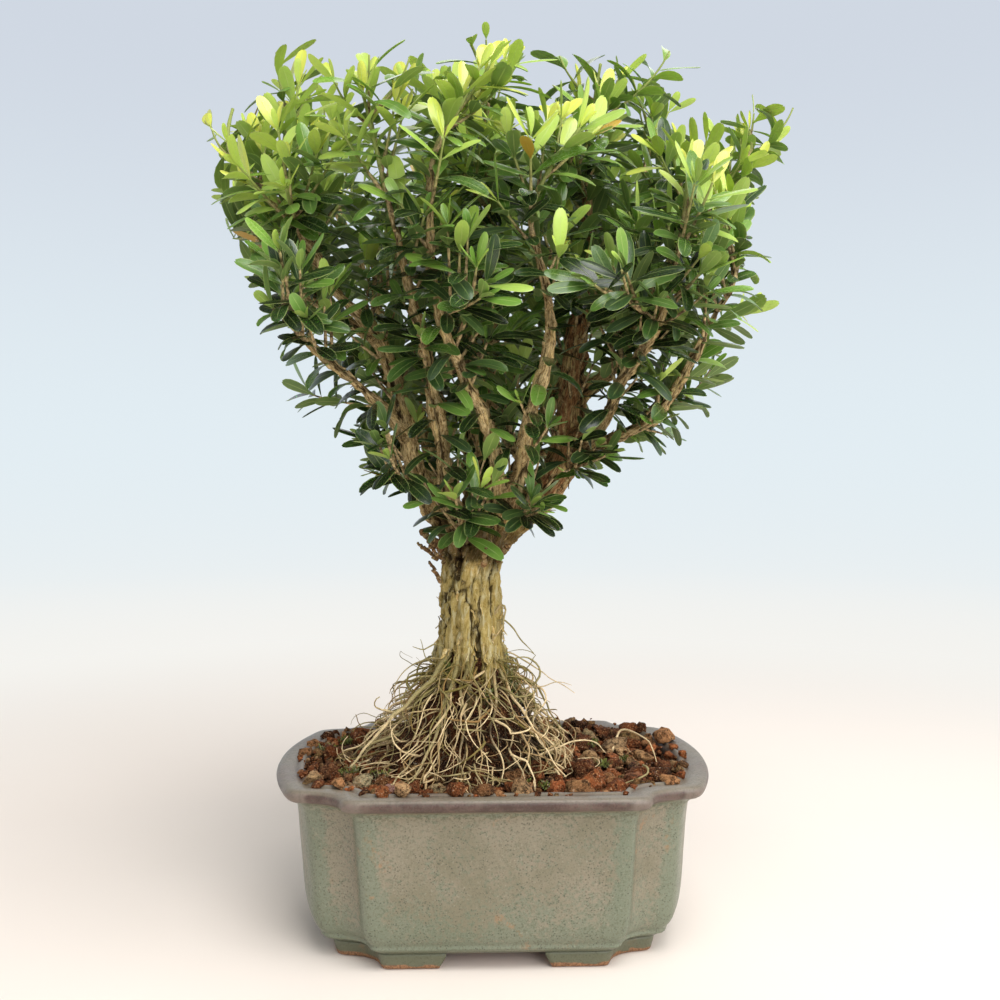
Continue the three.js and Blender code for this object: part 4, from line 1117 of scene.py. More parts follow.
def scatter_granules(settings, rng):
    """Rows of x, y, radius of all granules and their colours, from large to small."""
    placed = np.array([row[:3] for row in CHOSEN_GRANULES])
    colours = [paint(*row[3]) for row in CHOSEN_GRANULES]
    layers = [(settings.large_stones, 3.0, 4.8, 0.86), (settings.middle_stones, 1.8, 3.0, 0.78),
              (settings.small_stones, 0.8, 1.8, 0.64)]
    for count, low, high, crowd in layers:
        made, tries = 0, 0
        while made < count and tries < count * 60:
            tries += 1
            x, y = rng.uniform(-65, 65), rng.uniform(-46, 46)
            size = rng.uniform(low, high)
            if hypot(x - TRUNK[0], y) < 20:
                continue
            gaps = np.hypot(placed[:, 0] - x, placed[:, 1] - y) - (size + placed[:, 2]) * crowd
            if gaps.min() < 0 or inside_rim(x, y, size * 0.45 - 3.2) < 0:
                continue
            placed = np.vstack([placed, [x, y, size]])
            colours.append(granule_tone(rng))
            made += 1
    return placed, colours


def crumb_stone(ball, size, rng, number):
    """A broken, pitted granule: a ball trimmed by flat breaks and roughened."""
    points = ball * (1 + rough(ball * 1.2 + number * 7.1, 2, 21)[:, None] * 0.3)
    for _ in range(rng.integers(7, 12)):
        face = unit(rng.normal(size=3))
        depth = points @ face - rng.uniform(0.45, 0.85)
        points = points - np.clip(depth, 0, None)[:, None] * face * 0.94
    points = points * (1 + rough(points * 2.9 + number * 3.7, 3, 33)[:, None] * 0.19)
    stretch = np.array([rng.uniform(0.85, 1.35), rng.uniform(0.75, 1.1), rng.uniform(0.65, 0.95)])
    tilt, turn = rng.uniform(-0.5, 0.5), rng.uniform(0, tau)
    lean = np.array([[1, 0, 0], [0, cos(tilt), -sin(tilt)],
                     [0, sin(tilt), cos(tilt)]])
    spin = np.array([[cos(turn), -sin(turn), 0], [sin(turn), cos(turn), 0],
                     [0, 0, 1]])
    return (points * stretch * size) @ lean.T @ spin.T


def soil_granules(settings, rng):
    """Fired clay granules packed over the bed, and chips of them strewn between."""
    shape = Shape()
    balls = {level: stone_ball(level) for level in (2, 3)}
    placed, colours = scatter_granules(settings, rng)
    for number, ((x, y, size), colour) in enumerate(zip(placed, colours)):
        points, faces = balls[3 if size > 2.7 else 2]
        stone = crumb_stone(points, size, rng, number)
        lift = size * (0.26 if size > 1.8 else 0.4) + rng.uniform(-0.5, 0.9)
        ground = float(soil_height(x, y)) - 0.5 + lift
        stone = stone + [x, y, max(ground, rim_height(x, y, size * 0.5) + size * 0.5)]
        shade = np.array(colour) * rng.uniform(0.55, 1.45)
        shape.add(stone, faces, stone_tone=held(shade))
    points, faces = balls[2]
    for number in range(settings.small_stones):
        near = placed[rng.integers(len(placed))]
        x, y = near[:2] + rng.normal(size=2) * 3.4
        if inside_rim(x, y, -3.2) < 0 or hypot(x - TRUNK[0], y) < 21:
            continue
        size = rng.uniform(0.35, 0.95)
        stone = crumb_stone(points, size, rng, number)
        ground = float(soil_height(x, y)) + rng.uniform(0.3, 2.2)
        stone = stone + [x, y, max(ground, rim_height(x, y, 0.4) + size * 0.6)]
        shade = np.array(granule_tone(rng)) * rng.uniform(0.8, 1.5)
        shape.add(stone, faces, stone_tone=held(shade))
    return shape


def trunk_girth(height):
    """Radius of the trunk's skin at each height."""
    return np.interp(height, [36, 53, 66, 83, 101, 117, 130],
                     [13.5, 17.3, 14.4, 11.4, 9.2, 9.3, 11.0])


def moss_tufts(rng):
    """Little cushions of moss, each of many small upright leaves."""
    shape = Shape()
    tips = [[0, 0, 0], [0, 0, 0], [0.6, 0, 0], [1, 0, 0], [0.6, 0, 0]]
    for x, y, reach, *lift in MOSS_SPOTS:
        for _ in range(int((40 if lift else 26) * reach)):
            away, turn = reach * sqrt(rng.random()), rng.uniform(0, tau)
            px, py = x + cos(turn) * away, y + sin(turn) * away
            if inside_rim(px, py, 1.0) < 0:
                continue
            foot = np.array([px, py, float(soil_height(px, py)) + 0.8 + rng.uniform(0, 1.4)])
            if lift:
                foot[2] = lift[0] + rng.uniform(-1, 1) * reach * 1.6
            lean = unit(np.array([rng.normal() * 0.7, rng.normal() * 0.7, 1.0]))
            size = rng.uniform(0.7, 1.5)
            side = unit(np.cross(lean, rng.normal(size=3))) * size * 0.2
            points = [foot - side, foot + side, foot + lean * size * 0.6 + side * 0.7,
                      foot + lean * size, foot + lean * size * 0.6 - side * 0.7]
            shape.add(points, [[0, 1, 2, 4]], moss_place=tips)
            shape.join([[4, 2, 3]])
    return shape


# Trunk, limbs and roots

def strand_rows(rng):
    """Every strand of wood as smooth rows of x, y, z, radius, from the root base outwards."""
    strands = []
    for name, points in LIMBS.items():
        rows = [list(p) for p in points]
        if name == "right_main":
            rows = [[x, y, z, radius * (1.25 if 135 < z < 200 else 1.1)]
                    for x, y, z, radius in rows]
        if name in FLUTES:
            lower = []
            for height, ring, radius in TRUNK_RINGS:
                angle = radians(FLUTES[name] + (height - TWIST_HEIGHT) * 0.35)
                reach = 0 if name == "centre" else ring
                lower.append([TRUNK[0] + cos(angle) * reach,
                              TRUNK[1] + sin(angle) * reach, height,
                              5.0 if name == "centre" else radius * rng.uniform(0.88, 1.04)])
            rows = lower + rows
        strands.append(smooth_rows(rows, 1.5))
    return strands


def trunk_cords(rng):
    """Thin ropes of bark that run down the flutes of the trunk and spread at its foot."""
    cords, count = [], 22
    for i in range(count):
        angle = i / count * tau + rng.uniform(-0.1, 0.1)
        top, bottom = rng.uniform(108, 132), rng.uniform(54, 72)
        rows = []
        wave, out = rng.uniform(0, 9), rng.uniform(-0.9, 0.45)
        for share in np.linspace(0, 1, 13):
            height = top + (bottom - top) * share
            bend = (angle + sin(height / 11 + wave) * 0.12
                    + (height - TWIST_HEIGHT) * 0.006)
            reach = trunk_girth(height) - 0.5 + out + rng.uniform(-0.45, 0.45)
            rows.append([TRUNK[0] + cos(bend) * reach, TRUNK[1] + sin(bend) * reach,
                         height, rng.uniform(0.85, 1.55) * (1 - 0.25 * abs(share - 0.4))])
        cords.append(smooth_rows(rows, 2.0))
    return cords


def fused_wood(strands, cords):
    """Trunk and thick limbs melted into one skin, as points, normals and faces."""
    shape = Shape()
    for rows in strands:
        thick = rows[rows[:, 3] > FUSED_RADIUS]
        if len(thick) < 4:
            thick = rows[:4]
        shape.tube(thick[:, :3], thick[:, 3], 12)
    for rows in cords:
        shape.tube(rows[:, :3], rows[:, 3], 12)
    rough_mesh = shape.mesh("wood_rough", placed=False)
    block = bpy.data.objects.new("wood_rough", rough_mesh)
    bpy.context.scene.collection.objects.link(block)
    melt = block.modifiers.new("melt", "REMESH")
    melt.mode = "VOXEL"
    melt.voxel_size = 0.73
    melt.adaptivity = 0.0
    graph = bpy.context.evaluated_depsgraph_get()
    skin = bpy.data.meshes.new_from_object(block.evaluated_get(graph), depsgraph=graph)
    points, _, edges = mesh_arrays(skin)
    points = relaxed(points, edges, 2, 0.4)
    skin.vertices.foreach_set("co", points.astype(np.float32).ravel())
    skin.update()
    points, normals, _ = mesh_arrays(skin)
    faces = np.zeros(len(skin.loops), np.int32)
    skin.loops.foreach_get("vertex_index", faces)
    bpy.data.objects.remove(block)
    bpy.data.meshes.remove(skin)
    return points, normals, faces.reshape(-1, 4)


def along_strands(points, strands):
    """For each place: the offset from the nearest strand in its own frame, and the length
    along that strand."""
    middle = np.vstack([rows[:, :3] for rows in strands])
    radius = np.concatenate([rows[:, 3] for rows in strands])
    frames = [carried_frame(rows[:, :3]) for rows in strands]
    travel, across, side = (np.vstack([f[i] for f in frames]) for i in range(3))
    length = np.concatenate([np.concatenate([[0], np.cumsum(np.linalg.norm(
        np.diff(rows[:, :3], axis=0), axis=1))]) + 37.0 * i for i, rows in enumerate(strands)])
    placed = np.zeros((len(points), 3))
    batch = 2500
    for start in range(0, len(points), batch):
        part = points[start:start + batch]
        gap = ((part ** 2).sum(1)[:, None] - 2 * part @ middle.T + (middle ** 2).sum(1)[None])
        near = np.argmin(np.sqrt(np.maximum(gap, 0)) - radius[None], axis=1)
        offset = part - middle[near]
        placed[start:start + batch] = np.column_stack([
            (offset * across[near]).sum(1), (offset * side[near]).sum(1),
            length[near] + (offset * travel[near]).sum(1)])
    return placed


def bark_relief(places, points):
    """Height of the bark in millimetres, and how deep each place lies in a crack or between the
    cords, for dark cracks and painted shade.
    """
    height = points[:, 2]
    q = places * [1 / 2.3, 1 / 2.3, 1 / 26.0]
    q = q + 0.22 * np.column_stack([rough(places / 4.0, 2, s) for s in (41, 43, 47)])
    split = held(1 - np.abs(ripple(q, 51)) * 4.4)
    fine = held(1 - np.abs(ripple(q * [2.1, 2.1, 1.8], 57)) * 3.8)
    cross = held(1 - np.abs(ripple(places * [1 / 4.0, 1 / 4.0, 1 / 3.4] + 9, 59)) * 8.0)
    plates = rough(places * [1 / 2.0, 1 / 2.0, 1 / 8.0], 3, 61)
    # Gaps between the cords: a dip in the relief, and painted shade in the colour.
    hollow = (trunk_girth(height) - 0.1 - np.hypot(points[:, 0] - TRUNK[0], points[:, 1])) / 2.0
    hollow = held(hollow) * held((124 - height) / 8)
    deep = held(split * 0.95 + fine * 0.45 + cross * 0.1 + hollow * 0.75)
    scale = np.interp(height, [60, 120, 150, 190, 240], [1.0, 1.0, 0.9, 0.75, 0.5])
    crumbs = rough(places * [1 / 1.2, 1 / 1.2, 1 / 2.6], 2, 67)
    relief = plates * 0.9 + crumbs * 0.4 - split * 1.5 - fine * 0.5 - cross * 0.2 - hollow * 0.5
    return (relief + 0.4) * scale, deep


def wood_marks(points, places, deep):
    """How limb-like, green and red the wood is, and how dark with rotten wood and painted shade,
    at each place.
    """
    height = points[:, 2]
    limb = held((height - 118) / 26)
    algae = held(1.15 - np.abs(height - 92) / 60)
    warm = held(1 - np.abs(points[:, 0] - np.interp(height, [125, 150, 200, 260],
                                                    [5, 23, 30, 33])) / 9)
    warm = held(warm * 1.6) * (height > 120) * (points[:, 1] < 16)
    # Head of the trunk under the crown: painted shade, partly dark rotten wood.
    head = held(1 - np.abs(height - 126) / 15) * held(
        1 - np.hypot(points[:, 0] - TRUNK[0], points[:, 1]) / 26) * 1.5
    # Low on the trunk among the roots: painted shade in the cracks and on the wood, partly
    # soil-dark wood.
    low = held((86 - height) / 14)
    tone = np.column_stack([held(deep * 0.95 + low * 0.3), limb, algae])
    wear = np.column_stack([warm, held(head + low * 0.9), np.zeros(len(points))])
    return {"bark_place": places * [1 / 1.6, 1 / 1.6, 1 / 8.0], "bark_tone": tone,
            "bark_wear": wear}


def bark_flakes(shape, points, normals, rng, count):
    """Loose flakes of bark that stand off the trunk and the thick limbs."""
    inside = np.where((points[:, 2] > 74) & (points[:, 2] < 190))[0]
    chosen = rng.choice(inside, count)
    stations = np.linspace(0, 1, 5)
    column = np.array([-1.0, 0.0, 1.0])
    inner = 0.28 * (1 - column[None] ** 2)
    faces = strip_faces(5, 3, False)
    for i in chosen:
        normal = unit(normals[i].astype(float))
        along = UP - normal * normal[2] + rng.normal(size=3) * 0.3
        along = unit(along - normal * along.dot(normal)) * rng.choice([-1, 1])
        side = np.cross(along, normal)
        length, width = rng.uniform(1.4, 4.2), rng.uniform(0.5, 1.5)
        lift = rng.uniform(0.12, 0.75)
        middle = (points[i] - normal * 0.25 + along * (stations * length)[:, None]
                  + normal * (lift * length * stations ** 1.6)[:, None]
                  + rng.normal(size=(5, 3)) * 0.12)
        half = width * np.array([0.9, 1.0, 0.85, 0.7, 0.3]) * rng.uniform(0.7, 1.2, 5) / 2
        flat = middle[:, None] + side * (half[:, None] * column[None])[..., None]
        top = flat + normal * inner[..., None]
        bottom = flat - normal * inner[..., None] * 0.4
        pale = rng.uniform(0.0, 0.5)
        height = points[i][2]
        limb = held((height - 118) / 26)
        marks = {"bark_place": flat.reshape(-1, 3) * [0.6, 0.6, 0.2] + i % 97,
                 "bark_tone": (pale, limb, 0.5), "bark_wear": (0.3, 0.5 * (height > 112), 0)}
        shape.add(top, faces, **marks)
        shape.add(bottom, faces[:, ::-1], **marks)


def loose_limb(shape, thin, strands):
    """The thin stretch of a limb, a knotty tube with the same bark."""
    knots = held(np.cos(np.arange(len(thin)) * 1.5 / 6.2 * tau)) ** 4
    swell = 1 + 0.2 * ripple(thin[:, :3] / 4.5, 81) + 0.22 * knots
    tube = Shape()
    tube.tube(thin[:, :3], thin[:, 3] * swell, 14)
    rough_mesh = tube.mesh("limb_rough", placed=False)
    points, normals, _ = mesh_arrays(rough_mesh)
    bpy.data.meshes.remove(rough_mesh)
    places = along_strands(points, strands)
    relief, deep = bark_relief(places, points)
    raised = points + normals * (relief * 0.8)[:, None]
    walls, *caps = tube.faces
    shape.add(raised, walls, **wood_marks(points, places, deep * 0.85))
    for cap in caps:
        shape.join(cap)


def make_trunk(settings, rng):
    strands = strand_rows(rng)
    cords = trunk_cords(rng)
    points, normals, faces = fused_wood(strands, cords)
    shape = Shape()
    places = along_strands(points, strands)
    relief, deep = bark_relief(places, points)
    raised = points + normals * relief[:, None]
    shape.add(raised, faces, **wood_marks(points, places, deep))
    bark_flakes(shape, raised, normals, rng, settings.flakes)
    for rows in strands:
        thin = rows[rows[:, 3] < LOOSE_RADIUS]
        if len(thin) >= 4:
            loose_limb(shape, thin, strands)
    broken_stubs(shape, rng)
    lay_piece("trunk_and_limbs", shape, [bark_finish(settings)], "bark", "trunk_and_roots")


def broken_stubs(shape, rng):
    """Dead twig stubs at the head of the trunk."""
    count = 14
    share = np.linspace(0, 1, count)
    ones, zeros = np.ones(count), np.zeros(count)
    marks = {"bark_tone": np.column_stack([share * 0.5, ones, zeros]),
             "bark_wear": np.column_stack([ones * 0.8, ones * 0.5, zeros])}
    for foot, tip, radius in STUBS:
        path = np.array(foot) * (1 - share[:, None]) + np.array(tip) * share[:, None]
        path = path + rng.normal(size=(count, 3)) * 0.2
        girth = radius * (1.1 - 0.45 * share) * rng.uniform(0.75, 1.3, count)
        shape.tube(path, girth, 8, 0, bark_place=path * [0.9, 0.9, 0.25], **marks)


def root_reach(height):
    """How far the root tangle spreads from the trunk's middle at each height."""
    return np.interp(height, [50, 56, 62, 68, 74, 80, 86, 94], [32, 30, 27, 23.5, 19, 15, 12, 9.5])


def crooked_root(angle, start, depth, steps, rng):
    """One root that wanders down and round the tangle from where it leaves the trunk."""
    reach = root_reach(start) * depth * 0.82
    place = np.array([TRUNK[0] + cos(angle) * reach, TRUNK[1] + sin(angle) * reach,
                      start])
    round_way = rng.normal() * 1.3
    heading = unit(np.array([cos(angle) - sin(angle) * round_way,
                             sin(angle) + cos(angle) * round_way, -0.6])
                   + rng.normal(size=3) * 0.45)
    path = [place]
    for _ in range(steps):
        middle = TRUNK + [-4.6 * held((80 - place[2]) / 24), 0]
        out = place[:2] - middle
        distance = max(hypot(*out), 1.0)
        pull = np.clip((root_reach(place[2]) * depth - distance) / 8, -0.32, 0.4)
        away = np.array([out[0], out[1], 0]) / distance
        kink = 0.7 if rng.random() < 0.1 else 0.1
        heading = unit(heading + rng.normal(size=3) * kink + away * pull + [0, 0, -0.05])
        place = place + heading * ROOT_STEP
        ground = float(soil_height(place[0], place[1])) + 0.4
        if place[2] < ground:
            place = np.array([place[0], place[1], ground + rng.uniform(-0.5, 0.3)])
            heading[2] = abs(heading[2]) * 0.3
        path.append(place)
    return np.array(path)


def shade_and_soil_core(shape):
    """The dark soil and dead matter that the roots are wrapped round, made near black as painted
    shade deep in the tangle.
    """
    sides = 72
    heights = np.linspace(46, 90, 34)
    rows = []
    for height in heights:
        lean = -3.6 * held((80 - height) / 24)
        rows.append(at_height(circle(root_reach(height) * 0.76, sides, TRUNK[0] + lean), height))
    points = np.vstack(rows)
    out = unit((points - [TRUNK[0], TRUNK[1], 0]) * [1, 1, 0])
    points = points + out * (rough(points / 3.2, 3, 141) * 1.9)[:, None]
    # Painted shade: a near black-brown core, so the gaps between the roots read dark.
    tone = np.array(paint(40, 22, 12))[None] * (1 + rough(points / 2.5, 2, 143)[:, None] * 0.6)
    shape.add(points, strip_faces(len(rows), sides, True), 1, stone_tone=held(tone),
              root_tone=(0, 0, 0))


def lay_root(shape, path, radius, sides, green, pale, end):
    """One root's skin, with painted shade where it lies deep in the tangle, darker low down,
    thinner to its end.
    """
    share = np.linspace(0, 1, len(path))
    taper = radius * (1.15 - (1.15 - end) * share) * (1 + 0.2 * ripple(path / 1.8, 103))
    out = np.hypot(path[:, 0] - TRUNK[0], path[:, 1])
    # Painted shade deep inside the tangle; the same mark also darkens roots low down and high by
    # the trunk.
    tangle_shade = held((root_reach(path[:, 2]) * 0.95 - out) / 3.5) * 0.9
    low = held((57 - path[:, 2]) / 8) * 0.3
    high = held((path[:, 2] - 68) / 18) * 0.45
    tone = np.column_stack([pale - high * 0.6, held(low + tangle_shade + high * 0.3),
                            green + high])
    shape.tube(path, taper, sides, 0, root_tone=tone, stone_tone=(0.1, 0.06, 0.03))


def make_roots(settings, soil_settings, rng):
    shape = Shape()
    shade_and_soil_core(shape)
    for _ in range(settings.root_count):
        angle = rng.uniform(0, tau)
        start = 52 + 36 * rng.random() ** 1.2
        depth = rng.uniform(0.8, 1.03) if rng.random() < 0.72 else rng.uniform(1.0, 1.25)
        steps = int(rng.integers(7, 21))
        path = crooked_root(angle, start, depth, steps, rng)
        radius = settings.root_radius / MM * (0.6 + 1.1 * rng.random() ** 1.6)
        lay_root(shape, path, radius, 4, rng.random() * 0.75, rng.random() ** 0.8, 0.35)
    for path, radius, green in NAMED_ROOTS:
        fine = smooth_rows(path, ROOT_STEP)
        sway = np.column_stack([ripple(fine / 5.0 + s, 151) for s in (0, 11, 23)])
        ends = held(np.minimum(np.arange(len(fine)), np.arange(len(fine))[::-1]) / 4)
        fine = fine + sway * (0.75 * ends)[:, None]
        lay_root(shape, fine, radius * 0.8, 7, green, 0.8, 0.4)
    materials = [root_finish(settings), soil_finish(soil_settings, "root_soil_and_shade")]
    lay_piece("surface_roots", shape, materials, "bark", "trunk_and_roots")


# Foliage

LEAF_STATIONS = np.array([0.0, 0.08, 0.22, 0.4, 0.6, 0.79, 0.93, 1.0])
LEAF_WIDTHS = np.array([0.14, 0.19, 0.52, 0.85, 1.0, 0.95, 0.65, 0.22])
LEAF_COLUMNS = np.array([-1.0, -0.52, 0.0, 0.52, 1.0])
LEAF_SAMPLES = np.array([0.38, 0.55, 0.72, 0.87, 1.0])
CROWN_MIDDLE = np.array([TRUNK[0] + 4, 8.0])


class Crown:
    """The room that leaves and wood have taken, and the edges that leaves keep within."""

    def __init__(self):
        low, high = np.array(CAD_BOX[0]), np.array(CAD_BOX[1])
        self.low = (low - POT_MIDDLE) / MM + 0.25
        self.high = (high - POT_MIDDLE) / MM - 0.25
        self.cell = 1.4
        self.taken = np.zeros(((self.high - self.low) / self.cell).astype(int) + 3, bool)
        near = np.array([[i, j, k] for i in (-1, 0, 1) for j in (-1, 0, 1) for k in (-1, 0, 1)])
        self.near = near[np.abs(near).sum(axis=1) < 3]
        for rows in LIMBS.values():
            self.take(smooth_rows(rows, 1.4)[:, :3])

    def keys(self, places):
        steps = ((places - self.low) / self.cell).astype(int)
        return np.clip(steps, 0, np.array(self.taken.shape) - 1)

    def take(self, places):
        keys = self.keys(np.asarray(places)[:, None] + self.near[None] * self.cell).reshape(-1, 3)
        self.taken[keys[:, 0], keys[:, 1], keys[:, 2]] = True

    def crowding(self, places):
        """How many of the places are already taken."""
        keys = self.keys(np.asarray(places))
        return int(self.taken[keys[:, 0], keys[:, 1], keys[:, 2]].sum())

    def bares(self, place):
        """Whether a leaf at the place would hide a limb that shows in front."""
        x, _, z = seen_from_front(place)
        return place[1] < 4 and any(hypot(x - a, z - b) < r for a, b, r in CLEARINGS)

    def holds(self, places, margin):
        """Whether places lie in the model's box and inside the crown's edge from the front."""
        if np.any(places < self.low) or np.any(places > self.high):
            return False
        seen = seen_from_front(places)
        return bool(np.all(depth_inside(CROWN_EDGE, seen[:, 0], seen[:, 2]) > margin))


def leaf_middle(foot, axis, face, length, droop, stations):
    """Points down the middle of an arched leaf, with the way its face looks at each."""
    bend = np.maximum(droop, 1e-3)
    turn = bend * stations[:, None]
    middle = foot + length * (axis * np.sin(turn) / bend - face * (1 - np.cos(turn)) / bend)
    lift = face * np.cos(turn) + axis * np.sin(turn)
    return middle, lift


def leaf_sheets(shape, foot, axis, face, length, width, droop, cup, twist, tone):
    """One leaf: a top and a bottom sheet that meet at the margin."""
    middle, lift = leaf_middle(foot, axis, face, length, droop, LEAF_STATIONS)
    side = unit(np.cross(axis, face))
    sway = twist * LEAF_STATIONS[:, None]
    sideways = side * np.cos(sway) + lift * np.sin(sway)
    lift = lift * np.cos(sway) - side * np.sin(sway)
    half = LEAF_WIDTHS[:, None] * width / 2
    inner = (LEAF_STATIONS[:, None] > 0) & (LEAF_STATIONS[:, None] < 0.99)
    for column, back in ((LEAF_COLUMNS, 0.0), (LEAF_COLUMNS[::2], 1.0)):
        over = np.broadcast_to(column[None], (len(LEAF_STATIONS), len(column)))
        flat = middle[:, None] + sideways[:, None] * (over * half)[..., None]
        flat[-1, len(column) // 2] -= axis * 0.02 * length
        rise = cup * half * over ** 2 - 0.1 * (over == 0) * inner
        thick = 0.15 * (1 - over ** 2) * inner * (1 - 2 * back)
        sheet = flat + lift[:, None] * (rise + thick)[..., None]
        faces = strip_faces(len(LEAF_STATIONS), len(column), False)
        place = np.stack([over, np.broadcast_to(LEAF_STATIONS[:, None], over.shape),
                          np.full(over.shape, back)], axis=-1).reshape(-1, 3)
        shape.add(sheet, faces[:, ::-1] if back else faces, leaf_place=place, leaf_tone=tone,
                  twig_tone=(0, 0, 0))


def limb_spot(name, share):
    """Point, radius and direction at a share of a limb's length."""
    rows = np.array(LIMBS[name], float)
    spans = np.linalg.norm(np.diff(rows[:, :3], axis=0), axis=1)
    rest = share * spans.sum()
    i = 0
    while i < len(spans) - 1 and rest > spans[i]:
        rest -= spans[i]
        i += 1
    row = rows[i] + (rows[i + 1] - rows[i]) * min(rest / spans[i], 1)
    return row[:3], row[3], unit(rows[i + 1][:3] - rows[i][:3])


def bent_path(start, bend, tip, count):
    share = np.linspace(0, 1, count)[:, None]
    return (1 - share) ** 2 * start + 2 * share * (1 - share) * bend + share ** 2 * tip


def twig_path(limb, place, tip):
    """Path of a twig, square to the limb's end or side at first and bent to its tip."""
    point, radius, along = limb_spot(limb, place)
    towards = np.array(tip, float) - point
    if place == 1:
        start = point
        bend = start + along * np.linalg.norm(towards) * 0.35
    else:
        out = unit(towards - along * towards.dot(along))
        start = point + out * radius * 0.6
        bend = start + out * 5 + along * 3
    return bent_path(start, bend, np.array(tip, float), 30)


def freshness_and_top_light(tip, rng):
    """How much new growth a shoot carries, 0 to 1: most in the fresh places and at the top,
    where it also stands for painted light on the crown's top.
    """
    x, _, z = seen_from_front(tip)
    # Higher shoots get paler, brighter leaves, partly as painted light from above.
    high = held((z - 165) / 115)
    fresh = max(held(1 - hypot(x - a, z - b) / r) ** 0.5 * s
                for a, b, r, s in FRESH_PLACES)
    return float(np.clip(0.1 + 0.5 * high ** 2 + rng.normal() * 0.1 + 0.7 * fresh, 0.0, 1.0))


def path_spot(path, share):
    """The place at a share of a path, and the number of the path's point before it."""
    spot = share * (len(path) - 1)
    i = min(int(spot), len(path) - 2)
    return path[i] + (path[i + 1] - path[i]) * (spot - i), i


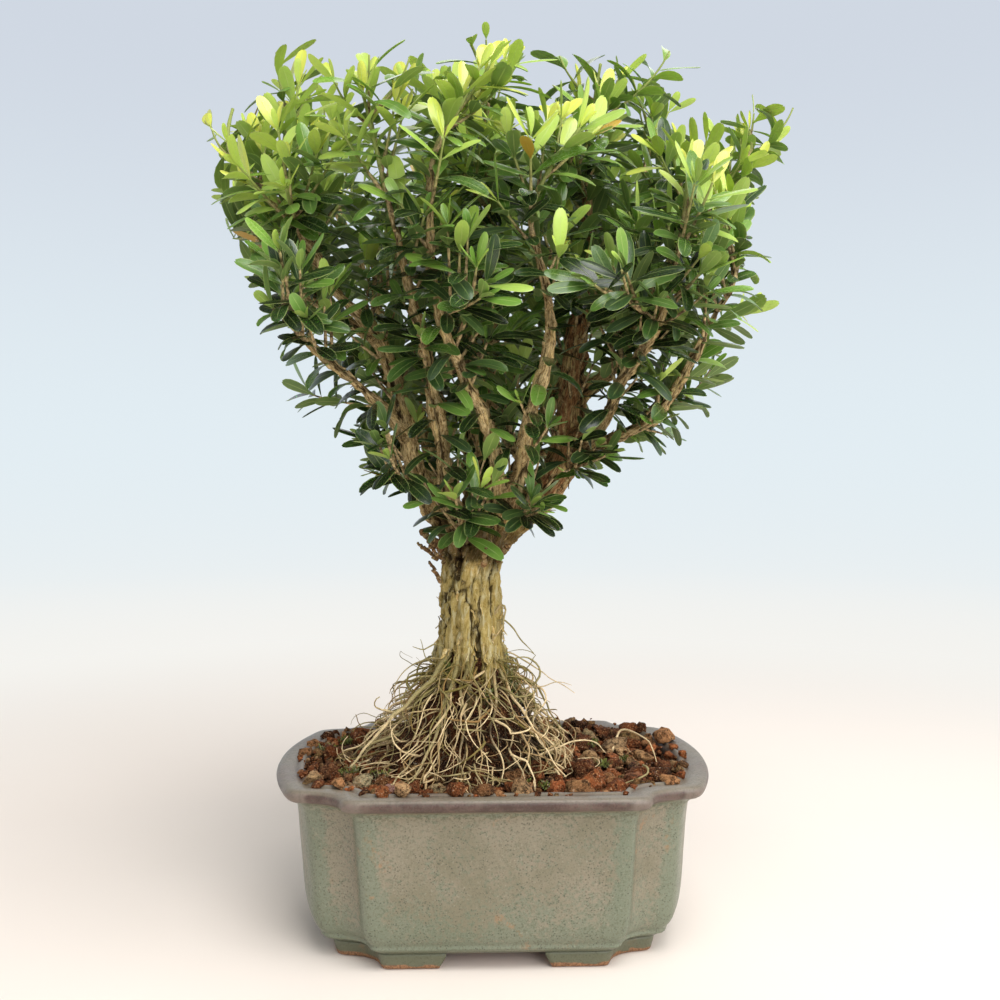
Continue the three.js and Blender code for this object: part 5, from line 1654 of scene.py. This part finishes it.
class Growth:
    """A leafy twig while it grows: its shape, its random draws and the crown it grows in."""

    def __init__(self, number, crown, settings):
        self.number, self.crown, self.settings = number, crown, settings
        self.limb, self.place, *self.tip = TWIGS[number]
        self.path = twig_path(self.limb, self.place, self.tip)
        self.rng = np.random.default_rng(TWIG_SEED + number)
        self.shape = Shape()
        self.youth = np.clip((self.tip[2] - 160) / 110, 0.15, 1)
        self.leaf_length = settings.leaf_length / MM
        self.leaf_width = settings.leaf_width / MM

    def stem(self, path, radius, youth, sides, nodes):
        """A stem that thins to its tip and swells where pairs of leaves stand."""
        count = len(path)
        share = np.linspace(0, 1, count)
        swell = (1 + 0.1 * ripple(path / 2.2, 131)
                 + 0.2 * held(np.cos(share * nodes * tau)) ** 3)
        tone = np.column_stack([held(youth * (0.25 + 0.9 * share)), share,
                                np.zeros(count)])
        self.shape.tube(path, radius * (1.0 - 0.45 * share) * swell, sides, 1, twig_tone=tone,
                        leaf_place=(0, 0, 0), leaf_tone=(0, 0, 0))

    def best_stand(self, point, axes, turn, tip_share, bud, length, beyond):
        """The least crowded of five ways for a leaf to stand, or None outside the crown."""
        rng, best = self.rng, None
        along, across, side = axes
        light = unit(np.array([*(point[:2] - CROWN_MIDDLE), 45.0]))
        for attempt in range(5):
            turned = turn + rng.normal() * (0.14 + attempt * 0.14)
            spread = (0.18 if bud else 1.32 - 0.84 * tip_share ** 1.7) + rng.normal() * 0.12
            droop = rng.uniform(0.25, 1.1) * (1.15 - 0.85 * tip_share)
            outward = across * cos(turned) + side * sin(turned)
            axis = unit(along * cos(spread) + outward * sin(spread))
            axis = unit(axis + UP * max(0.0, -axis[2]) * 0.75)
            face = along * 0.45 + light * (0.75 - 0.4 * tip_share) + UP * 0.15
            face = unit(face - axis * face.dot(axis))
            foot = point + axis * 0.3
            middle, _ = leaf_middle(foot, axis, face, length, droop, LEAF_SAMPLES)
            edge = np.cross(axis, face) * self.settings.leaf_width / MM * 0.4
            corners = np.vstack([middle, middle[2] + edge, middle[2] - edge])
            margin = -beyond - 4.4 * held((228 - point[2]) / 20)
            if not self.crown.holds(corners, margin):
                continue
            crowd = self.crown.crowding(corners[:4] if bud else corners)
            if best is None or crowd < best[0]:
                best = (crowd, foot, axis, face, droop, middle)
            if crowd == 0:
                break
        return best

    def leaves(self, path, pairs, size, begin, tip=1.0, beyond=1.6):
        """Opposite leaves, each pair square to the one before it, and a bud at the tip."""
        rng = self.rng
        turn_start = rng.uniform(0, pi)
        travel, across, side = carried_frame(path)
        fresh = freshness_and_top_light(path[-1], rng)
        most = 3 if tip < 1 else self.settings.crowding
        for pair in range(pairs + (tip == 1.0)):
            bud = pair == pairs
            share = min(pair / max(pairs - 1, 1), 1.0)
            tip_share = share * tip
            point, i = path_spot(path, begin + (0.97 - begin) * share if not bud else 1.0)
            for half in (0, 1):
                length = self.leaf_length * size * rng.uniform(0.8, 1.16)
                length *= 0.5 if bud else 0.8 + 0.28 * sin(pi * (0.15 + 0.75 * tip_share))
                turn = turn_start + pair * pi / 2 + half * pi
                best = self.best_stand(point, (travel[i], across[i], side[i]), turn, tip_share,
                                       bud, length, beyond)
                if best is None or best[0] > (3 if bud else most):
                    continue
                _, foot, axis, face, droop, middle = best
                if self.crown.bares(middle[1]) and rng.random() < 0.75:
                    continue
                self.crown.take(middle[1:])
                sick = 1.0 if rng.random() < 0.004 else 0.0
                youth = held(0.05 + 0.4 * fresh + tip_share ** 2.2 * (0.2 + 0.6 * fresh)
                             + 0.08 * bud + rng.normal() * 0.11)
                width = self.leaf_width * (length / self.leaf_length) ** 0.75
                leaf_sheets(self.shape, foot, axis, face, length,
                            width * rng.uniform(0.84, 1.14), droop, rng.uniform(-0.25, 0.3),
                            rng.normal() * 0.16, (youth, rng.random(), sick))

    def side_shoot(self, point, along, radius, length, size, climb=0.9):
        """A shoot from a twig or limb, turned up to the light."""
        rng, best = self.rng, None
        lift = 0.35 + 0.9 * held((point[2] - 235) / 30)
        margin = 3.6 - 2 * held((228 - point[2]) / 20)
        for _ in range(8):
            outward = unit(np.cross(along, rng.normal(size=3)))
            heading = unit(along * climb + outward * rng.uniform(0.5, 0.95) + UP * lift)
            tip = point + heading * length + UP * length * 0.14
            line = point + (tip - point) * np.linspace(0.3, 1.0, 6)[:, None]
            if not self.crown.holds(line[-1:], margin):
                continue
            crowd = self.crown.crowding(line)
            if best is None or crowd < best[0]:
                best = (crowd, heading, tip)
        if best is None or best[0] > 2:
            return
        _, heading, tip = best
        path = bent_path(point, point + heading * length * 0.5, tip, 12)
        youth = np.clip((point[2] - 150) / 110, 0.15, 1)
        pairs = max(2, round(length / (self.settings.pair_step / MM * 0.94)))
        self.stem(path, min(radius * 0.75, 0.6), youth, 5, pairs)
        self.leaves(path, pairs, size, 0.22)

    def main_stem(self):
        """The twig's own stem and leaves."""
        total = np.linalg.norm(np.diff(self.path, axis=0), axis=1).sum()
        pairs = max(3, round((total - 2) / self.settings.pair_step * MM))
        self.stem(self.path, TWIG_RADIUS * 0.9, self.youth, 7, pairs)
        self.leaves(self.path, pairs, 1.0, 0.14)

    def limb_leaves(self):
        """Leaves along the outer part of the limb that the twig ends."""
        rows = smooth_rows(LIMBS[self.limb], 2.0)
        outer = rows[int(len(rows) * 0.3):]
        outer = outer[outer[:, 3] < 2.5]
        pairs = max(3, round(len(outer) * 2.0 / 5.6))
        self.leaves(outer[:, :3], pairs, 1.0, 0.03, 0.25)

    def lone_shoots(self):
        """The single shoots whose tips lie nearest to this twig's tip."""
        tips = np.array([row[2:] for row in TWIGS], float)
        share = (tips[:, 1:2] - EYE[1]) / -EYE[1]
        for x, z in LONE_SHOOTS:
            ends = EYE + (np.array([x, 0, z]) - EYE) * share
            gaps = np.linalg.norm(ends - tips, axis=1)
            end = ends[self.number] + (0, 0, -2.5)
            if (np.argmin(gaps) != self.number or gaps[self.number] < 5
                    or not self.crown.holds(end[None], -1.5)):
                continue
            path, rise = self.path, end - self.path
            steep = np.where(rise[:, 2] > 1.1 * np.hypot(rise[:, 0], rise[:, 1]))[0]
            near = int(np.clip(steep[-1] if len(steep) else 4, 4, len(path) - 5))
            lone = bent_path(path[near], path[near] + rise[near] * (0.75, 0.75, 0.4), end, 14)
            pairs = max(3, round(np.linalg.norm(rise[near]) / 4.4))
            self.stem(lone, 0.5, self.youth, 5, pairs)
            self.leaves(lone, pairs, 0.92, 0.25, beyond=3.6)

    def side_shoots(self, count):
        """Side shoots spread along the twig."""
        for i in range(count):
            share = 0.08 + 0.74 * (i + self.rng.uniform(0.2, 0.8)) / count
            point, k = path_spot(self.path, share)
            length = self.rng.uniform(11, 25) * (1.1 - 0.45 * share)
            self.side_shoot(point, unit(self.path[k + 1] - self.path[k]), TWIG_RADIUS, length,
                            0.92)

    def limb_shoots(self, count):
        """Short shoots from the bark of the limb on both sides of the twig."""
        for i in range(count):
            step = 0.055 * (i + 0.7) * (-1 if self.place == 1 or i % 2 else 1)
            share = float(np.clip(self.place + step, 0.1, 0.98))
            point, radius, along = limb_spot(self.limb, share)
            if point[2] < 140:
                continue
            out = unit(np.cross(along, self.rng.normal(size=3)))
            low = held((point[2] - 140) / 60)
            length = self.rng.uniform(8, 13) + 9 * low * self.rng.random()
            self.side_shoot(point + out * radius * 0.4, along, radius, length, 0.72 + 0.2 * low,
                            0.6)


def make_twig(number, crown, materials, settings):
    growth = Growth(number, crown, settings)
    growth.main_stem()
    if growth.place == 1:
        growth.limb_leaves()
    growth.lone_shoots()
    growth.side_shoots(settings.side_shoots)
    growth.limb_shoots(settings.limb_shoots)
    lay_piece(f"foliage_{number + 1:02d}", growth.shape, materials, "leaf",
              f"leafy_twig_{number + 1:02d}")


# Stage

def stage_finish(settings):
    """Matt floor that runs without a break into a backdrop that glows in a soft gradient of
    painted light.
    """
    f = Finish("studio_sweep", Roughness=0.85, Specular_IOR_Level=0.1)
    place = f.place()
    x, y, z = place.parts()
    away = (x * x + y * y).maths("SQRT")
    f.set("Base Color", f.mix(f.noise(place, 9, 2) * 0.12, settings.floor, settings.wall_low))
    graded = f.mix((away + z).within(0.3, 1.95), settings.wall_low, settings.wall_mid)
    graded = f.mix(z.within(0.15, 0.95), graded, settings.wall_top)
    # The backdrop glows: its graded colours are painted light, not lit by the lamps.
    glow = f.node("Emission", {}, {"Color": graded})
    floor = Wire(f, f.shader.outputs[0])
    f.feed(f.output.inputs[0], f.node("MixShader", {}, {0: away.within(0.18, 0.6), 1: floor,
                                                       2: glow}))
    return f.material


def sweep_mesh():
    """A round floor that turns up into a wall."""
    sides = 96
    profile = [(r, 0.0) for r in np.linspace(0.0, 1.2, 13)]
    profile += [(1.2 + 0.5 * sin(a), 0.5 - 0.5 * cos(a))
                for a in np.linspace(0.1, pi / 2, 12)]
    profile += [(1.7, h) for h in (0.7, 0.9, 1.15)]
    shape = Shape()
    shape.add(np.vstack([at_height(circle(r, sides), z) for r, z in profile]),
              strip_faces(len(profile), sides, True))
    return shape.mesh("studio_sweep", placed=False)


def stand(name, data, place, direction):
    """Stands a lamp or the camera in the scene and turns it."""
    thing = bpy.data.objects.new(name, data)
    bpy.context.scene.collection.objects.link(thing)
    thing.location = place
    thing.rotation_mode = "QUATERNION"
    thing.rotation_quaternion = direction.to_track_quat("-Z", "Y")
    return thing


def soft_lights(settings):
    """Area lights high, beside the camera, to the right and behind."""
    lights = [("key_light", (0.2, -0.45, 1.05), (0.7, 0.7), settings.key_power),
              ("front_light", (0.45, -0.9, 0.5), (0.6, 0.6), settings.front_power),
              ("fill_light", (1.0, -0.35, 0.6), (0.7, 0.7), settings.fill_power),
              ("back_light", (0.1, 0.95, 0.95), (0.9, 0.6), settings.fill_power)]
    for name, place, (width, depth), power in lights:
        light = bpy.data.lights.new(name, "AREA")
        light.shape = "RECTANGLE"
        light.size, light.size_y = width, depth
        light.energy = power
        place = Vector(place) + Vector(POT_MIDDLE)
        stand(name, light, place, Vector(POT_MIDDLE) + Vector((0, 0, 0.14)) - place)


def make_stage(settings):
    mesh = sweep_mesh()
    sweep = bpy.data.objects.new("studio_sweep", mesh)
    sweep.location.z = -0.0001
    scene = bpy.context.scene
    scene.collection.objects.link(sweep)
    mesh.materials.append(stage_finish(settings))
    scene.world = bpy.data.worlds.new("soft_white")
    scene.world.use_nodes = True
    background = scene.world.node_tree.nodes["Background"]
    background.inputs[0].default_value = (1.0, 0.99, 0.97, 1.0)
    background.inputs[1].default_value = settings.sky_light
    soft_lights(settings)
    lens = bpy.data.cameras.new("camera")
    lens.lens = settings.lens
    lens.sensor_width = 36.0
    lens.clip_start = 0.01
    scene.camera = stand("camera", lens, Vector(POT_MIDDLE) + Vector(EYE) * MM, Vector(LOOK))
    scene.view_settings.view_transform = "Standard"


# What a user can change

def colour_prop(name, description, seen):
    return bpy.props.FloatVectorProperty(name=name, description=description, subtype="COLOR",
                                         size=3, min=0.0, max=1.0, default=paint(*seen))


def length_prop(name, description, metres, low, high):
    return bpy.props.FloatProperty(name=name, description=description, subtype="DISTANCE",
                                   unit="LENGTH", default=metres, min=low, max=high, precision=5)


def count_prop(name, description, number, most, least=0):
    return bpy.props.IntProperty(name=name, description=description, default=number, min=least,
                                 max=most)


def power_prop(name, description, watts):
    return bpy.props.FloatProperty(name=name, description=description, unit="POWER",
                                   default=watts, min=0.0, max=200.0)


class PotSettings(bpy.types.PropertyGroup):
    glaze_light: colour_prop("Glaze", "Warm grey of the glaze", (134, 125, 105))
    glaze_dark: colour_prop("Glaze, thick", "Darker tone of thick glaze", (119, 112, 90))
    glaze_warm: colour_prop("Glaze, warm", "Pinkish tone where the glaze is thin", (144, 126, 108))
    glaze_pale: colour_prop("Glaze, pale", "Palest grains of the glaze", (160, 154, 134))
    glaze_break: colour_prop("Glaze break", "Green flecks, thickest on ridges", (102, 118, 98))
    foot_green: colour_prop("Foot", "Darker green glaze on the feet", (82, 80, 56))
    glaze_shade: colour_prop("Glaze, grain", "Darker fine grain all over the glaze", (88, 84, 68))
    speckle: colour_prop("Speckle", "Fine dark specks in the glaze", (62, 62, 50))
    rust: colour_prop("Iron stain", "Rusty spots in the glaze", (156, 112, 74))
    lip: colour_prop("Lip", "Mauve-grey of the lip", (70, 49, 42))
    lip_light: colour_prop("Lip, thin", "Lighter grey on the lip", (102, 80, 71))
    # Colour of the painted highlight along the lip's rounded edge.
    lip_edge_highlight: colour_prop("Lip, edge", "Palest line along the rounded edge", (166, 146, 134))
    clay: colour_prop("Clay", "Bare clay under the feet", (160, 116, 80))
    clay_dark: colour_prop("Clay, dark", "Darker grains in the bare clay", (104, 72, 48))
    net: colour_prop("Net", "Plastic of the drain nets", (34, 35, 36))
    dust: colour_prop("Dust", "Soil dust on the nets", (96, 78, 62))


class SoilSettings(bpy.types.PropertyGroup):
    # Colour of the painted shade in the granules' hollows and pits.
    soil_hollow_shade: colour_prop("Soil in shade", "Dark hollows of the granules", (30, 14, 6))
    soil_warm: colour_prop("Soil, warm", "Orange-brown stain on the granules", (148, 82, 44))
    soil_bright: colour_prop("Soil, dry", "Bright dry grains", (224, 168, 116))
    mineral: colour_prop("Mineral", "White mineral crust", (222, 208, 186))
    moss_dark: colour_prop("Moss, low", "Shaded foot of the moss", (54, 60, 22))
    moss_bright: colour_prop("Moss, tips", "Bright tips of the moss", (134, 142, 54))
    large_stones: count_prop("Large granules", "How many large granules", 60, 200)
    middle_stones: count_prop("Middle granules", "How many middle-sized granules", 180, 500)
    small_stones: count_prop("Small granules", "How many small granules", 380, 1200)


class WoodSettings(bpy.types.PropertyGroup):
    bark_light: colour_prop("Bark, lightest", "Cream edges of the bark", (250, 235, 190))
    bark_pale: colour_prop("Bark, pale", "Pale corky ridges of the trunk", (238, 207, 138))
    bark_mid: colour_prop("Bark", "Middle tone of the trunk's bark", (196, 160, 88))
    # Colour of the bark's cracks and of the painted shade between the cords and among the roots.
    fissure_and_shade: colour_prop("Fissure", "Dark fissures in the bark", (50, 36, 16))
    # Colour of the dark rotten wood and painted shade at the head and foot.
    rot: colour_prop("Rotten wood", "Dark red-brown wood at the head and foot", (110, 70, 44))
    algae: colour_prop("Algae", "Green film on bark and roots", (98, 100, 38))
    limb_pale: colour_prop("Limb, pale", "Pale flakes on the limbs", (234, 206, 152))
    limb_dark: colour_prop("Limb", "Brown of the limbs", (146, 114, 70))
    limb_red: colour_prop("Limb, red", "Red-brown of the thick right limb", (198, 146, 98))
    limb_red_dark: colour_prop("Limb, dark red", "Dark tone of the thick right limb",
                               (116, 76, 46))
    root_pale: colour_prop("Root, pale", "Straw colour of dry roots", (240, 214, 166))
    root_mid: colour_prop("Root", "Middle tone of the roots", (150, 116, 68))
    # Colour of fine dark streaks on the roots and of the painted shade low and deep in the tangle.
    root_dark_and_shade: colour_prop("Root, dark", "Dark skin low in the tangle", (38, 20, 7))
    root_count: count_prop("Roots", "How many thin surface roots", 560, 900, 20)
    root_radius: length_prop("Root radius", "Radius of a common thin root", 0.0003, 0.0002, 0.002)
    flakes: count_prop("Bark flakes", "How many loose flakes of bark", 520, 2000)


class LeafSettings(bpy.types.PropertyGroup):
    leaf_length: length_prop("Leaf length", "Length of a full-grown leaf", 0.0153, 0.008, 0.025)
    leaf_width: length_prop("Leaf width", "Width of a full-grown leaf", 0.0046, 0.003, 0.012)
    pair_step: length_prop("Pair spacing", "Stem between two pairs of leaves", 0.0048, 0.003, 0.02)
    side_shoots: count_prop("Side shoots", "Side shoots on each twig", 5, 12)
    limb_shoots: count_prop("Limb shoots", "Shoots on the limb beside each twig", 4, 12)
    crowding: count_prop("Crowding", "How tightly leaves may stand", 2, 7)
    leaf_old: colour_prop("Leaf, oldest", "Dark green of old leaves", (13, 26, 12))
    leaf_dark: colour_prop("Leaf, old", "Dark green of last year's leaves", (40, 64, 28))
    leaf_mid: colour_prop("Leaf", "Green of grown leaves", (108, 146, 56))
    leaf_bright: colour_prop("Leaf, young", "Bright green of young leaves", (182, 206, 92))
    leaf_new: colour_prop("Leaf, new", "Yellow-green of new leaves", (206, 210, 86))
    # Colour of the greyish bloom on old leaves, partly a painted sheen.
    leaf_bloom_and_sheen: colour_prop("Leaf bloom", "Greyish bloom on old leaves", (92, 112, 88))
    leaf_vein: colour_prop("Leaf vein", "Pale midrib and veins", (182, 200, 116))
    # Colour of the pale margin, partly a painted highlight along the leaf's edge.
    leaf_margin_and_highlight: colour_prop("Leaf margin", "Thin pale margin", (172, 184, 112))
    leaf_back: colour_prop("Leaf underside", "Paler underside of the leaf", (112, 134, 72))
    leaf_sick: colour_prop("Leaf, fading", "Orange-yellow of fading leaves", (176, 134, 40))
    twig_green: colour_prop("Twig, young", "Green of young stems", (140, 150, 78))
    twig_tan: colour_prop("Twig, old", "Tan of older stems", (220, 190, 138))
    twig_dark: colour_prop("Twig, cracks", "Dark cracks of older stems", (84, 66, 42))


class StageSettings(bpy.types.PropertyGroup):
    floor: colour_prop("Floor", "Plain pale floor", (238, 226, 215))
    # Colours of the glowing backdrop, painted light.
    wall_top: colour_prop("Backdrop, high", "Backdrop colour high up", (208, 216, 227))
    wall_mid: colour_prop("Backdrop, middle", "Backdrop behind the crown", (226, 237, 243))
    wall_low: colour_prop("Backdrop, low", "Backdrop colour near the floor", (246, 244, 239))
    key_power: power_prop("Key light", "Power of the high soft light", 10.0)
    front_power: power_prop("Front light", "Power of the soft light beside the camera", 5.5)
    fill_power: power_prop("Fill light", "Power of the side and back lights", 2.5)
    sky_light: bpy.props.FloatProperty(name="Sky", description="Strength of the light from above",
                                       default=0.3, min=0.0, max=5.0)
    lens: bpy.props.FloatProperty(name="Lens", description="Focal length in millimetres",
                                  default=39.6, min=10.0, max=200.0)


# Steps and panel

class BONSAI_OT_pot(bpy.types.Operator):
    """Make the glazed pot with its feet and drain holes"""
    bl_idname = "bonsai.make_pot"
    bl_label = "Pot"

    def execute(self, context):
        make_pot(context.scene.bonsai_pot)
        return {"FINISHED"}


class BONSAI_OT_drain_nets(bpy.types.Operator):
    """Give the two drain nets their plastic"""
    bl_idname = "bonsai.finish_drain_nets"
    bl_label = "Drain nets"

    def execute(self, context):
        plastic = net_finish(context.scene.bonsai_pot)
        for name in ("drain_net_left", "drain_net_right"):
            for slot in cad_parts[name].material_slots:
                slot.material = plastic
        return {"FINISHED"}


class BONSAI_OT_soil(bpy.types.Operator):
    """Fill the pot with crumbs, granules and moss"""
    bl_idname = "bonsai.make_soil"
    bl_label = "Soil"

    def execute(self, context):
        settings = context.scene.bonsai_soil
        rng = np.random.default_rng(SOIL_SEED)
        crumbs = soil_finish(settings, "soil_crumbs")
        stones = soil_finish(settings, "soil_stones")
        lay_piece("soil_bed", soil_bed(), [crumbs], "soil", "soil")
        lay_piece("soil_granules", soil_granules(settings, rng), [stones], "soil", "soil")
        lay_piece("moss", moss_tufts(rng), [moss_finish(settings)], "soil", "soil")
        return {"FINISHED"}


class BONSAI_OT_trunk(bpy.types.Operator):
    """Grow the fluted trunk and its limbs"""
    bl_idname = "bonsai.make_trunk"
    bl_label = "Trunk and limbs"

    def execute(self, context):
        make_trunk(context.scene.bonsai_wood, np.random.default_rng(TRUNK_SEED))
        return {"FINISHED"}


class BONSAI_OT_roots(bpy.types.Operator):
    """Grow the skirt of surface roots"""
    bl_idname = "bonsai.make_roots"
    bl_label = "Surface roots"

    def execute(self, context):
        scene = context.scene
        make_roots(scene.bonsai_wood, scene.bonsai_soil, np.random.default_rng(ROOT_SEED))
        return {"FINISHED"}


class BONSAI_OT_foliage(bpy.types.Operator):
    """Grow the leafy twigs"""
    bl_idname = "bonsai.make_foliage"
    bl_label = "Leafy twigs"

    def execute(self, context):
        settings = context.scene.bonsai_leaf
        crown = Crown()
        materials = [leaf_finish(settings), twig_finish(settings)]
        for number in range(len(TWIGS)):
            make_twig(number, crown, materials, settings)
        return {"FINISHED"}


class BONSAI_OT_stage(bpy.types.Operator):
    """Set the pale floor, the backdrop, the soft lights and the camera"""
    bl_idname = "bonsai.make_stage"
    bl_label = "Stage"

    def execute(self, context):
        make_stage(context.scene.bonsai_stage)
        return {"FINISHED"}


class BONSAI_PT_maker(bpy.types.Panel):
    """The bonsai's pieces and what can be changed on each"""
    bl_label = "Boxwood bonsai"
    bl_idname = "BONSAI_PT_maker"
    bl_space_type = "VIEW_3D"
    bl_region_type = "UI"
    bl_category = "Bonsai"

    def draw(self, context):
        scene = context.scene
        for settings, operators in PANEL_ROWS:
            box = self.layout.box()
            for operator in operators:
                box.operator(operator.bl_idname)
            group = getattr(scene, settings)
            for name in group.bl_rna.properties.keys():
                if name not in ("rna_type", "name"):
                    box.prop(group, name)


PANEL_ROWS = [
    ("bonsai_pot", (BONSAI_OT_pot, BONSAI_OT_drain_nets)),
    ("bonsai_soil", (BONSAI_OT_soil,)),
    ("bonsai_wood", (BONSAI_OT_trunk, BONSAI_OT_roots)),
    ("bonsai_leaf", (BONSAI_OT_foliage,)),
    ("bonsai_stage", (BONSAI_OT_stage,)),
]
GROUPS = {"bonsai_pot": PotSettings, "bonsai_soil": SoilSettings, "bonsai_wood": WoodSettings,
          "bonsai_leaf": LeafSettings, "bonsai_stage": StageSettings}
CLASSES = [*GROUPS.values(), *(op for _, ops in PANEL_ROWS for op in ops), BONSAI_PT_maker]


def register():
    for cls in CLASSES:
        bpy.utils.register_class(cls)
    for name, group in GROUPS.items():
        setattr(bpy.types.Scene, name, bpy.props.PointerProperty(type=group))


def unregister():
    for name in GROUPS:
        delattr(bpy.types.Scene, name)
    for cls in reversed(CLASSES):
        bpy.utils.unregister_class(cls)


def main():
    register()
    bpy.ops.bonsai.make_pot()
    bpy.ops.bonsai.finish_drain_nets()
    bpy.ops.bonsai.make_soil()
    bpy.ops.bonsai.make_trunk()
    bpy.ops.bonsai.make_roots()
    bpy.ops.bonsai.make_foliage()
    bpy.ops.bonsai.make_stage()


if __name__ == "__main__":
    main()
